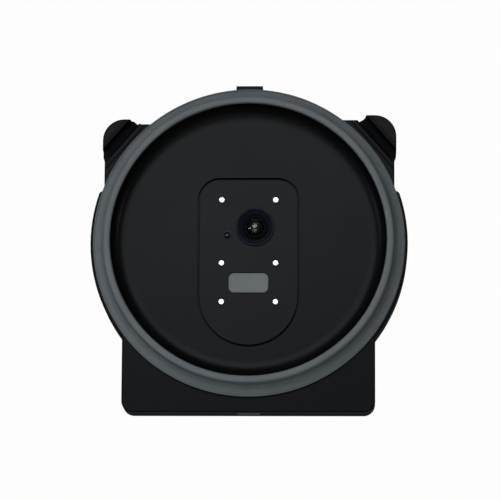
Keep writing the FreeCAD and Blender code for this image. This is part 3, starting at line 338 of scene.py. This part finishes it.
barrelLook = {"grainSize": 2200.0, "cloudSize": 120.0, "cloudShare": 0.3, "pitch": 14000.0,
              "markShare": 0.4, "edgeWidth": 0.00025, "patchiness": 0.5, "edgeShare": 0.5,
              "dark": (0.0006, 0.0007, 0.0010), "light": (0.0016, 0.0018, 0.0024),
              "edge": (0.0348, 0.0354, 0.0372), "roughness": (0.18, 0.30), "metal": 0.0,
              "gloss": 0.01, "bump": 0.25, "bumpDepth": 0.00004}
tinnedLook = dict(barrelLook, dark=(0.50, 0.51, 0.52), light=(0.66, 0.67, 0.68),
                  edge=(1.0, 1.0, 1.0), roughness=(0.29, 0.41), metal=0.6, gloss=0.5)


def turnedMetal(name, look, centre):
    # anodised or plated metal with concentric tool marks
    material, tree, shader = startMaterial(name)
    marks = placeGroup(tree, turning, {"Centre": centre, "Pitch": look["pitch"]})
    grain = placeGrain(tree, look)
    colour = mixColor(tree, grain.outputs["Clouds"], look["dark"], look["light"])
    wire(tree, rubbed(tree, look, colour), shader.inputs["Base Color"])
    wire(tree, cloudyRange(tree, grain, look["roughness"]), shader.inputs["Roughness"])
    shader.inputs["Metallic"].default_value = look["metal"]
    shader.inputs["Specular IOR Level"].default_value = look["gloss"]
    height = mathNode(tree, "ADD", scaled(tree, marks.outputs["Height"], look["markShare"]),
                      grain.outputs["Height"])
    addBump(tree, shader, height, look["bump"], look["bumpDepth"])
    return material


glassLook = {"grainSize": 300.0, "cloudSize": 90.0, "cloudShare": 0.6, "speckSize": 900.0,
             "dustAmount": 0.03, "tint": (0.50, 0.60, 0.60), "tintSway": 1.12, "roughness": 0.0,
             "smear": 0.03, "smearFrom": 0.3, "smearTo": 0.8, "dustRough": 0.15,
             "clear": 1.0, "gloss": 0.5, "bend": 1.5}
# painted shade: the deep lens element is opaque near-black glass standing for the dark inside of
# the lens; its gloss is real
paintedShadeGlassLook = dict(glassLook, tint=(0.0008, 0.0014, 0.0012), roughness=0.02, clear=0.0, gloss=0.6)
guideLook = dict(glassLook, tint=(0.0010, 0.0012, 0.0016), roughness=0.02, clear=0.0)


def clearGlass(name, look):
    # coated glass: faint smears change the gloss, and the coating tints it
    material, tree, shader = startMaterial(name)
    grain = placeGrain(tree, look)
    specks = placeDust(tree, look)
    colour = mixColor(tree, grain.outputs["Clouds"], look["tint"],
                      tuple(v * look["tintSway"] for v in look["tint"]))
    wire(tree, colour, shader.inputs["Base Color"])
    smears = cloudyRange(tree, grain, (look["roughness"], look["roughness"] + look["smear"]),
                         look["smearFrom"], look["smearTo"])
    specked = scaled(tree, specks.outputs["Mask"], look["dustRough"])
    wire(tree, mathNode(tree, "ADD", smears, specked), shader.inputs["Roughness"])
    shader.inputs["Transmission Weight"].default_value = look["clear"]
    shader.inputs["IOR"].default_value = look["bend"]
    shader.inputs["Specular IOR Level"].default_value = look["gloss"]
    return material


ringLook = {"grainSize": 1800.0, "cloudSize": 140.0, "cloudShare": 0.3, "pitch": 9000.0,
            "edgeWidth": 0.0004, "patchiness": 0.2, "edgeShare": 0.4,
            "dark": (0.0014, 0.0024, 0.0046), "light": (0.0026, 0.0042, 0.0080),
            "edge": (0.03, 0.04, 0.06), "gloss": 0.10, "glossTint": (0.75, 0.88, 1.0),
            "roughness": (0.12, 0.22), "bump": 0.12, "bumpDepth": 0.00005}


def glossRing(name, look):
    # glossy blue-black moulding round the lens, finely ribbed against stray light
    material, tree, shader = startMaterial(name)
    centre = middleOf(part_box("lens_bezel"))
    marks = placeGroup(tree, turning, {"Centre": centre, "Pitch": look["pitch"]})
    grain = placeGrain(tree, look)
    colour = mixColor(tree, grain.outputs["Clouds"], look["dark"], look["light"])
    wire(tree, rubbed(tree, look, colour), shader.inputs["Base Color"])
    shader.inputs["Specular IOR Level"].default_value = look["gloss"]
    shader.inputs["Specular Tint"].default_value = (*look["glossTint"], 1.0)
    wire(tree, cloudyRange(tree, grain, look["roughness"]), shader.inputs["Roughness"])
    addBump(tree, shader, marks.outputs["Height"], look["bump"], look["bumpDepth"])
    return material


boardLook = {"grainSize": 1500.0, "cloudSize": 60.0, "cloudShare": 0.3, "blockSize": 320.0,
             "lines": 3.0, "lineShare": 0.55, "bare": (0.006, 0.060, 0.028),
             "traced": (0.012, 0.105, 0.050), "aged": (0.010, 0.080, 0.045),
             "roughness": (0.25, 0.40), "bump": 0.2, "bumpDepth": 0.00004}


def solderMask(name, look):
    # green board with a maze of copper traces under the mask
    material, tree, shader = startMaterial(name)
    place = addNode(tree, "ShaderNodeTexCoord")
    blocks = addNode(tree, "ShaderNodeTexVoronoi", {"Scale": look["blockSize"]},
                     distance="MANHATTAN", feature="F1")
    wire(tree, place.outputs["Object"], blocks.inputs["Vector"])
    lines = mathNode(tree, "FRACT", scaled(tree, blocks.outputs["Distance"], look["lines"]))
    traces = mathNode(tree, "GREATER_THAN", lines, look["lineShare"])
    grain = placeGrain(tree, look)
    colour = mixColor(tree, traces, look["bare"], look["traced"])
    aged = mixColor(tree, grain.outputs["Clouds"], colour, look["aged"])
    wire(tree, aged, shader.inputs["Base Color"])
    wire(tree, cloudyRange(tree, grain, look["roughness"]), shader.inputs["Roughness"])
    addBump(tree, shader, traces, look["bump"], look["bumpDepth"])
    return material


finishes = {
    "shell_black": mouldedPlastic("shellPlastic", shellLook),
    "dish_black": mouldedPlastic("dishPlastic", dishLook),
    "plate_black": mouldedPlastic("platePlastic", plateLook),
    "gasket_grey": mouldedPlastic("gasketSilicone", siliconeLook),
    "button_grey": mouldedPlastic("keySilicone", keyLook),
    "seal_black": mouldedPlastic("sealFoam", foamLook),
    "screw_steel": brightSteel("brightSteel", steelLook),
    "bezel_blue_black": glossRing("glossRing", ringLook),
    "barrel_black": turnedMetal("anodisedBlack", barrelLook, lensCentre),
    "lens_glass": clearGlass("coatedGlass", glassLook),
    # painted shade: opaque near-black glass for the middle lens, in place of the dark depth behind
    # clear glass
    "deep_glass": clearGlass("paintedShadeGlass", paintedShadeGlassLook),      # black below the front lens
    "guide_clear": clearGlass("guidePlastic", guideLook),
    "holder_black": mouldedPlastic("holderPlastic", holderLook),
    "board_green": solderMask("solderMask", boardLook),
    "chip_black": mouldedPlastic("chipMoulding", chipLook),
    "shield_steel": turnedMetal("tinnedSteel", tinnedLook, (0, 0, 0)),
    "flex_amber": mouldedPlastic("flexFilm", filmLook),
    "lead_red": mouldedPlastic("leadRubber", leadLook),
    "cell_wrap": mouldedPlastic("cellSleeve", sleeveLook),
    "holder_grey": mouldedPlastic("cellHolder", cellHolderLook),
}


def dress(obj, material):
    obj.data.materials.clear()
    obj.data.materials.append(material)


for name, obj in nodes.items():
    dress(obj, finishes[slotOf[name]])
print("materials assigned to", len(nodes), "nodes")


sideShare = 0.48        # of a side that one corner's arc may take up


def roundedLoop(points, steps):
    # closed outline: each point is (x, y, radius), and its corner is rounded by an arc
    result = []
    count = len(points)
    for i, (x, y, radius) in enumerate(points):
        here = Vector((x, y))
        before = Vector(points[i - 1][:2]) - here
        after = Vector(points[(i + 1) % count][:2]) - here
        if radius <= 0:
            result.append(here)
            continue
        half = before.angle(after) / 2
        run = min(radius / math.tan(half), before.length * sideShare, after.length * sideShare)
        a = here + before.normalized() * run
        b = here + after.normalized() * run
        for k in range(steps + 1):
            t = k / steps
            result.append(a * (1 - t) ** 2 + here * 2 * t * (1 - t) + b * t ** 2)
    return result


creaseAngle = math.radians(40)


def makeMesh(name, points, faces):
    # faces are turned outwards; edges sharper than the crease angle stay crisp
    mesh = bpy.data.meshes.new(name)
    mesh.from_pydata(points, [], faces)
    mesh.validate()
    work = bmesh.new()
    work.from_mesh(mesh)
    bmesh.ops.recalc_face_normals(work, faces=work.faces)
    work.to_mesh(mesh)
    work.free()
    mesh.polygons.foreach_set("use_smooth", [True] * len(mesh.polygons))
    mesh.set_sharp_from_angle(angle=creaseAngle)
    obj = bpy.data.objects.new(name, mesh)
    scene.collection.objects.link(obj)
    return obj


def around(centre, radius, angle, height):
    return centre[0] + radius * math.cos(angle), centre[1] + radius * math.sin(angle), height


def loopFaces(rows, steps):
    # quads between neighbouring outlines of a closed ring
    return [(i * rows + k, (i + 1) % steps * rows + k,
             (i + 1) % steps * rows + (k + 1) % rows, i * rows + (k + 1) % rows)
            for i in range(steps) for k in range(rows)]


def wave(angle, waves):
    return sum(size * math.sin(times * angle + phase) for times, size, phase in waves)


gasketShape = {
    "steps": 288,
    "lipInner": 0.1083, "lipOuter": 0.1139, "sleeve": 0.1112, "lipRound": 0.0027,
    # the flared band from the crease outward and back below: radius, height, rounding
    "band": ((0.1142, 0.0326, 0.0010), (0.1149, 0.0309, 0.0012), (0.1170, 0.0284, 0.0030),
             (0.1205, 0.0270, 0.0015), (0.1214, 0.0271, 0.0003), (0.1217, 0.0277, 0.0004),
             (0.1225, 0.0277, 0.0004), (0.1228, 0.0267, 0.0004), (0.1222, 0.0256, 0.0004),
             (0.1168, 0.0264, 0.0030), (0.1145, 0.0290, 0.0006)),
    "lipRoot": 0.0004, "cornerSteps": 6,
    # how far the soft rubber strays from true, and where along the ring
    "lipWave": 0.00045, "bandWave": 0.00035, "bandTurn": 1.7,
    "lipSway": 0.9, "lipDip": 0.5, "bandPull": 0.6,
    "waves": ((2, 0.9, 0.5), (3, 0.6, 2.1), (5, 0.45, 4.0), (9, 0.22, 1.2), (14, 0.12, 5.1)),
}


def makeGasket(shape):
    # soft ring: sleeve on the drum, rounded lip above it and flared band outside
    low, high = gasketLow.z, gasketHigh.z
    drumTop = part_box("inner_dish")[1].z
    lipOuter = shape["lipOuter"]
    outline = roundedLoop([
        (shape["sleeve"], low, 0),
        (shape["sleeve"], drumTop, 0),
        (shape["lipInner"], drumTop, shape["lipRoot"]),
        (shape["lipInner"], high, shape["lipRound"]),
        (lipOuter, high, shape["lipRound"]),
        *shape["band"],
        (lipOuter, low, 0),
    ], shape["cornerSteps"])
    points = []
    for i in range(shape["steps"]):
        angle = 2 * math.pi * i / shape["steps"]
        lipShift = shape["lipWave"] * wave(angle, shape["waves"]) / 2
        bandShift = shape["bandWave"] * wave(angle + shape["bandTurn"], shape["waves"]) / 2
        for x, z in outline:
            onLip = max(0.0, min(1.0, (z - drumTop) / (high - drumTop)))
            onBand = max(0.0, min(1.0, (x - lipOuter) / (gasketRadius - lipOuter)))
            radius = (x + lipShift * onLip * shape["lipSway"]
                      - abs(bandShift) * shape["bandPull"] * onBand)
            height = z - abs(lipShift) * onLip * shape["lipDip"] + bandShift * onBand
            points.append(around(drumCentre, radius, angle, height))
    return makeMesh("softGasket", points, loopFaces(len(outline), shape["steps"]))


gasket = makeGasket(gasketShape)
dress(gasket, finishes["gasket_grey"])
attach(gasket, "cover")
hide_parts("drum_gasket")
print("gasket made")


def turnedRings(name, profile, centre, steps=96):
    # closed solid of revolution: the profile runs from the axis at the top to the axis below
    points = [(centre[0], centre[1], profile[0][1])]
    faces = []
    rows = profile[1:-1]
    for radius, z in rows:
        for i in range(steps):
            angle = 2 * math.pi * i / steps
            points.append(around(centre, radius, angle, z))
    points.append((centre[0], centre[1], profile[-1][1]))
    last = len(points) - 1
    for i in range(steps):
        after = (i + 1) % steps
        faces.append((0, 1 + i, 1 + after))
        for k in range(len(rows) - 1):
            a = 1 + k * steps
            faces.append((a + i, a + steps + i, a + steps + after, a + after))
        a = 1 + (len(rows) - 1) * steps
        faces.append((last, a + after, a + i))
    return makeMesh(name, points, faces)


def turnedHollow(name, outline, centre, steps=144):
    # ring with the closed outline of (radius, height) points
    points = [around(centre, radius, 2 * math.pi * i / steps, z)
              for i in range(steps) for radius, z in outline]
    return makeMesh(name, points, loopFaces(len(outline), steps))


def capPoints(radius, rise, z, count, fromAxis=True):
    # points over a spherical cap that rises by rise from a circle of this radius at height z
    sphere = (radius ** 2 + rise ** 2) / (2 * rise)
    full = math.asin(radius / sphere)
    points = []
    for k in range(count + 1):
        angle = full * k / count
        points.append((sphere * math.sin(angle), z + rise - sphere * (1 - math.cos(angle))))
    return points if fromAxis else points[::-1]


def settle(piece, node, material):
    # the piece stands in for the CAD node: same body, same slot
    body = bodyOf[node]
    dress(piece, finishes[material])
    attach(piece, body)
    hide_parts(node)


lensShape = {
    "frontRadius": 0.0070, "frontRim": 0.0295, "frontRise": 0.0023, "frontFoot": 0.0266,
    "hollowRadius": 0.0064, "hollowRise": 0.0034,
    "innerRadius": 0.0049, "innerDome": 0.0023, "innerRise": 0.0007, "innerTop": 0.0240,
    "innerFoot": 0.0214, "innerRim": 0.0256, "bevel": 0.0001, "land": 0.0002,
    "domeSteps": 14, "hollowSteps": 8, "innerSteps": 10,
}


def makeLens(shape):
    # front meniscus, then the deep element with its dished face, in opaque near-black glass:
    # painted shade for the dark inside of the lens
    front = [*capPoints(shape["frontRadius"], shape["frontRise"], shape["frontRim"],
                        shape["domeSteps"]),
             (shape["frontRadius"], shape["frontFoot"]),
             *capPoints(shape["hollowRadius"], shape["hollowRise"], shape["frontFoot"],
                        shape["hollowSteps"], False)]
    glass = turnedRings("frontGlass", front, lensCentre)
    settle(glass, "front_lens", "lens_glass")
    bevel = shape["bevel"]
    inner = [*capPoints(shape["innerDome"], shape["innerRise"], shape["innerTop"],
                        shape["innerSteps"]),
             (shape["innerDome"] + bevel, shape["innerTop"] - bevel),
             (shape["innerRadius"] - shape["land"], shape["innerRim"]),
             (shape["innerRadius"], shape["innerRim"] - bevel),
             (shape["innerRadius"], shape["innerFoot"]),
             (0.0, shape["innerFoot"])]
    deep = turnedRings("innerGlass", inner, lensCentre)
    settle(deep, "middle_lens", "deep_glass")


bezelShape = {
    "outer": 0.0152, "flange": 0.0168, "hole": 0.0098, "low": 0.0260, "under": 0.0270,
    "top": 0.0315, "rim": 0.0011, "ridges": 6, "foot": 0.0288, "ridgeLift": 0.000088,
    "ridgeFall": 0.35, "ridgeRun": 0.85, "ridgeDip": 1.05,      # shares of a ridge's width and drop
    "outerRound": 0.0005, "rimRound": 0.0002, "ridgeRound": 0.0001, "holeRound": 0.0003,
    "roundSteps": 3,
}


def makeBezel(shape):
    # funnel round the lens, turned into fine ridges that trap stray light
    outline = [(shape["hole"], shape["low"], 0), (shape["flange"], shape["low"], 0),
               (shape["flange"], shape["under"], 0), (shape["outer"], shape["under"], 0),
               (shape["outer"], shape["top"], shape["outerRound"])]
    start = shape["outer"] - shape["rim"]
    run = (start - shape["hole"]) / shape["ridges"]
    drop = (shape["top"] - shape["foot"]) / shape["ridges"]
    outline.append((start, shape["top"], shape["rimRound"]))
    for k in range(shape["ridges"]):
        x = start - k * run
        z = shape["top"] - k * drop
        outline.append((x - run * shape["ridgeFall"], z - drop * shape["ridgeDip"],
                        shape["ridgeRound"]))
        outline.append((x - run * shape["ridgeRun"], z - drop + shape["ridgeLift"],
                        shape["ridgeRound"]))
    outline.append((shape["hole"], shape["foot"], shape["holeRound"]))
    outline = roundedLoop(outline, shape["roundSteps"])
    ring = turnedHollow("lensFunnel", [tuple(point) for point in outline], lensCentre)
    settle(ring, "lens_bezel", "bezel_blue_black")


guideShape = {"collar": 0.0034, "collarTop": 0.00035, "dome": 0.0030, "domeStep": 0.0002,
              "rise": 0.0013, "collarEdge": 0.6, "clearance": 0.00003, "neck": 0.0025,
              "shoulder": 0.0034, "shoulderTop": 0.0270, "shoulderLow": 0.0260, "stem": 0.0016,
              "domeSteps": 10}


def makeLightGuide(shape):
    # domed tip and collar on the plate, then the neck, the shoulder below it and the stem
    low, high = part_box("light_guide")
    collarTop = floorTop + shape["collarTop"]
    collarLow = floorTop + shape["clearance"]
    profile = [*capPoints(shape["dome"], shape["rise"], collarTop, shape["domeSteps"]),
               (shape["dome"] + shape["domeStep"], collarTop),
               (shape["collar"], floorTop + shape["collarTop"] * shape["collarEdge"]),
               (shape["collar"], collarLow), (shape["neck"], collarLow),
               (shape["neck"], shape["shoulderTop"]), (shape["shoulder"], shape["shoulderTop"]),
               (shape["shoulder"], shape["shoulderLow"]), (shape["stem"], shape["shoulderLow"]),
               (shape["stem"], low.z), (0.0, low.z)]
    guide = turnedRings("lightDome", profile, middleOf((low, high)))
    settle(guide, "light_guide", "guide_clear")


def roundedRing(width, height, radius, steps=8, sides=6):
    # points round a rounded rectangle, always the same count, so that rings can be joined
    hw, hh = width / 2, height / 2
    radius = min(radius, hw, hh)
    points = []
    for turn, (sx, sy) in enumerate(((1, 1), (-1, 1), (-1, -1), (1, -1))):
        cx, cy = sx * (hw - radius), sy * (hh - radius)
        for k in range(steps + 1):
            angle = math.pi / 2 * (turn + k / steps)
            points.append((cx + radius * math.cos(angle), cy + radius * math.sin(angle)))
        nx, ny = ((-1, 1), (-1, -1), (1, -1), (1, 1))[turn]
        ex, ey = nx * (hw - radius), ny * (hh - radius)
        nextAngle = math.pi / 2 * (turn + 1)
        startPoint = points[-1]
        endPoint = (ex + radius * math.cos(nextAngle), ey + radius * math.sin(nextAngle))
        for k in range(1, sides):
            t = k / sides
            points.append((startPoint[0] * (1 - t) + endPoint[0] * t,
                           startPoint[1] * (1 - t) + endPoint[1] * t))
    return points


def loftedPad(name, rings, place):
    # closed solid through rounded rectangles; place turns (across, along, up) into a point
    points = []
    faces = []
    for width, height, radius, up in rings:
        points += [place(x, y, up) for x, y in roundedRing(width, height, radius)]
    count = len(points) // len(rings)
    for k in range(len(rings) - 1):
        for i in range(count):
            after = (i + 1) % count
            faces.append((k * count + i, k * count + after,
                          (k + 1) * count + after, (k + 1) * count + i))
    faces.append(tuple(range(count))[::-1])
    faces.append(tuple((len(rings) - 1) * count + i for i in range(count)))
    return makeMesh(name, points, faces)


keyShape = {
    "width": 0.0310, "height": 0.0154, "corner": 0.0040, "flange": 0.0021, "flangeLow": 0.0255,
    "flangeTop": 0.0268, "top": 0.0304, "edge": 0.0005, "rim": 0.0015, "well": 0.0004,
    "press": 0.0046, "edgeSteps": 3, "leastCorner": 0.0006,
    # the rim's inner slope and the well: share of the rim inwards, share of the well's depth
    "bowl": ((0.55, 0.0), (0.8, 0.25), (1.0, 0.8), (1.3, 1.0), (2.2, 0.92), (3.4, 0.85)),
}


def makeKey(shape):
    # soft key: rounded rim, shallow well with a faint crown, flange and press post below
    low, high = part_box("power_button")
    x0, y0 = middleOf((low, high))[:2]
    w, h, r, top = shape["width"], shape["height"], shape["corner"], shape["top"]
    fw, fh, fr = w + 2 * shape["flange"], h + 2 * shape["flange"], r + shape["flange"]
    press = shape["press"]
    rings = [(press, press, press / 2, low.z), (press, press, press / 2, shape["flangeLow"]),
             (fw, fh, fr, shape["flangeLow"]), (fw, fh, fr, shape["flangeTop"]),
             (w, h, r, shape["flangeTop"]), (w, h, r, top - shape["edge"])]
    for k in range(1, shape["edgeSteps"] + 1):
        turn = math.pi / 2 * k / shape["edgeSteps"]
        inset = shape["edge"] * (1 - math.cos(turn))
        rings.append((w - 2 * inset, h - 2 * inset, r - inset,
                      top - shape["edge"] + shape["edge"] * math.sin(turn)))
    rim = shape["rim"]
    for inset, drop in shape["bowl"]:
        rings.append((w - 2 * rim * inset, h - 2 * rim * inset,
                      max(r - rim * inset, shape["leastCorner"]), top - shape["well"] * drop))
    key = loftedPad("softKey", rings, lambda x, y, up: (x0 + x, y0 + y, up))
    settle(key, "power_button", "button_grey")


plugShape = {
    "width": 0.0180, "height": 0.0090, "corner": 0.0014, "thickness": 0.0018, "edge": 0.0004,
    "tongue": (0.0082, 0.0026, 0.0013), "tongueDepth": 0.0020, "backEdge": 0.0001,
    "bevels": ((0.6, 0.25, 0.0), (2.0, 0.0, 0.7)),      # shares of the edge: in, deep, corner
    "wellRim": 0.0026, "wellFloor": 0.0032, "wellDepth": 0.0003, "wellCorners": (0.6, 0.5),
}


def makePlug(shape):
    # soft plug with a rounded edge, a shallow well on its face and a stub behind
    low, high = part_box("port_plug")
    x0, z0 = (low.x + high.x) / 2, (low.z + high.z) / 2
    front = low.y
    w, h, r, e = shape["width"], shape["height"], shape["corner"], shape["edge"]
    tw, th, tr = shape["tongue"]
    back = front + shape["thickness"]
    behind = shape["backEdge"]
    rings = [(tw, th, tr, back + shape["tongueDepth"]), (tw, th, tr, back),
             (w - 2 * behind, h - 2 * behind, r, back), (w, h, r, back - behind),
             (w, h, r, front + e)]
    rings += [(w - e * inward, h - e * inward, r - e * corner, front + e * deep)
              for inward, deep, corner in shape["bevels"]]
    wells = ((shape["wellRim"], 0.0), (shape["wellFloor"], shape["wellDepth"]))
    rings += [(w - inward, h - inward, r * corner, front + deep)
              for (inward, deep), corner in zip(wells, shape["wellCorners"])]
    plug = loftedPad("softPlug", rings, lambda x, z, depth: (x0 + x, depth, z0 + z))
    settle(plug, "port_plug", "gasket_grey")


makeLens(lensShape)
makeBezel(bezelShape)
makeLightGuide(guideShape)
makeKey(keyShape)
makePlug(plugShape)
print("lens, light guide, key and plug made")


stageLook = {"floorSize": 6.0, "floorHeight": -0.0002, "whiteShare": 0.98, "glossShare": 0.15,
             "floorColour": (0.08, 0.08, 0.08)}


def makeStage(look):
    # white to the camera, a faint sheen in mirrors, and dark to the light that bounces
    bpy.ops.mesh.primitive_plane_add(size=look["floorSize"], location=(0, 0, look["floorHeight"]))
    floor = bpy.context.object
    floor.name = "paleFloor"
    material = bpy.data.materials.new("paleFloor")
    material.use_nodes = True
    tree = material.node_tree
    tree.nodes.clear()
    out = addNode(tree, "ShaderNodeOutputMaterial")
    plain = addNode(tree, "ShaderNodeBsdfDiffuse")
    plain.inputs["Color"].default_value = (*look["floorColour"], 1.0)
    bright = addNode(tree, "ShaderNodeEmission", {"Color": (1, 1, 1, 1), "Strength": 1.0})
    rays = addNode(tree, "ShaderNodeLightPath")
    seen = mathNode(tree, "MAXIMUM", rays.outputs["Is Camera Ray"],
                    rays.outputs["Is Transmission Ray"])
    share = mathNode(tree, "MAXIMUM", scaled(tree, seen, look["whiteShare"]),
                     scaled(tree, rays.outputs["Is Glossy Ray"], look["glossShare"]))
    both = addNode(tree, "ShaderNodeMixShader")
    wire(tree, share, both.inputs["Fac"])
    wire(tree, plain.outputs[0], both.inputs[1])
    wire(tree, bright.outputs[0], both.inputs[2])
    wire(tree, both.outputs[0], out.inputs["Surface"])
    floor.data.materials.append(material)


makeStage(stageLook)

lampColour = (0.95, 0.985, 1.03)
lightLook = {
    "overhead": {"size": (1.05, 0.78), "place": (-0.10, 0.57, 1.92), "watts": 9.4},
    "fill": {"size": (1.2, 0.8), "place": (-0.10, -0.30, 1.92), "watts": 2.0},
    # the two big ones light the pale ring, and don't show up in the black gloss
    "front": {"size": (2.2, 1.4), "place": (-0.25, -1.20, 1.50), "watts": 15.0, "mirrored": False},
    "back": {"size": (1.6, 1.0), "place": (-0.9, 1.15, 1.40), "watts": 12.0, "mirrored": False},
    "leftSpot": {"size": (0.10, 0.30), "place": (-1.00, 0.10, 1.10), "watts": 1.5},
    "rightSpot": {"size": (0.08, 0.20), "place": (1.00, 0.10, 1.10), "watts": 0.8},
}

for name, look in lightLook.items():
    lamp = bpy.data.lights.new(name + "Softbox", "AREA")
    lamp.shape = "RECTANGLE"
    lamp.size, lamp.size_y = look["size"]
    lamp.energy = look["watts"]
    lamp.color = lampColour
    holder = bpy.data.objects.new(name + "Softbox", lamp)
    holder.location = look["place"]
    way = Vector((0, 0, floorTop)) - holder.location
    holder.rotation_euler = way.to_track_quat("-Z", "Y").to_euler()
    holder.visible_glossy = look.get("mirrored", True)
    scene.collection.objects.link(holder)


worldLook = {"air": 0.09, "airColour": (0.95, 0.98, 1.0), "whiteBelow": -0.02, "dimAbove": 0.06}


def makeWorld(look):
    # white to the camera; mirrors and glass see white low down and dim studio air higher up
    world = bpy.data.worlds.new("studioAir")
    scene.world = world
    world.use_nodes = True
    tree = world.node_tree
    tree.nodes.clear()
    out = addNode(tree, "ShaderNodeOutputWorld")
    rays = addNode(tree, "ShaderNodeLightPath")
    place = addNode(tree, "ShaderNodeTexCoord")
    split = addNode(tree, "ShaderNodeSeparateXYZ")
    wire(tree, place.outputs["Generated"], split.inputs[0])
    low = addNode(tree, "ShaderNodeMapRange", {"From Min": look["whiteBelow"],
                                               "From Max": look["dimAbove"],
                                               "To Min": 1.0, "To Max": 0.0})
    wire(tree, split.outputs["Z"], low.inputs["Value"])
    mirrored = mathNode(tree, "MAXIMUM", rays.outputs["Is Glossy Ray"],
                        rays.outputs["Is Transmission Ray"])
    share = mathNode(tree, "MAXIMUM", rays.outputs["Is Camera Ray"],
                     mathNode(tree, "MULTIPLY", mirrored, low.outputs["Result"]))
    white = addNode(tree, "ShaderNodeBackground", {"Color": (1, 1, 1, 1), "Strength": 1.0})
    air = addNode(tree, "ShaderNodeBackground", {"Color": (*look["airColour"], 1),
                                                 "Strength": look["air"]})
    both = addNode(tree, "ShaderNodeMixShader")
    wire(tree, share, both.inputs["Fac"])
    wire(tree, air.outputs[0], both.inputs[1])
    wire(tree, white.outputs[0], both.inputs[2])
    wire(tree, both.outputs[0], out.inputs["Surface"])


makeWorld(worldLook)

cameraLook = {"sideTilt": 1.7, "frontTilt": 10.0, "distance": 2.60, "sensor": 36.0,
              "target": (0.0002, 0.0025, 0.0), "frameWidth": 0.3925}


def makeCamera(look):
    lens = bpy.data.cameras.new("studioCamera")
    lens.sensor_width = look["sensor"]
    back = Vector((math.tan(math.radians(look["sideTilt"])),
                   -math.tan(math.radians(look["frontTilt"])), 1.0)).normalized()
    right = (Vector((1, 0, 0)) - back * back.x).normalized()
    up = back.cross(right)
    camera = bpy.data.objects.new("studioCamera", lens)
    turn = Matrix((right, up, back)).transposed().to_4x4()
    place = Vector(look["target"]) + back * look["distance"]
    camera.matrix_world = Matrix.Translation(place) @ turn
    lens.lens = lens.sensor_width * (look["distance"] - floorTop) / look["frameWidth"]
    scene.collection.objects.link(camera)
    scene.camera = camera


makeCamera(cameraLook)
scene.view_settings.view_transform = "Standard"
print("stage, lights and camera set")
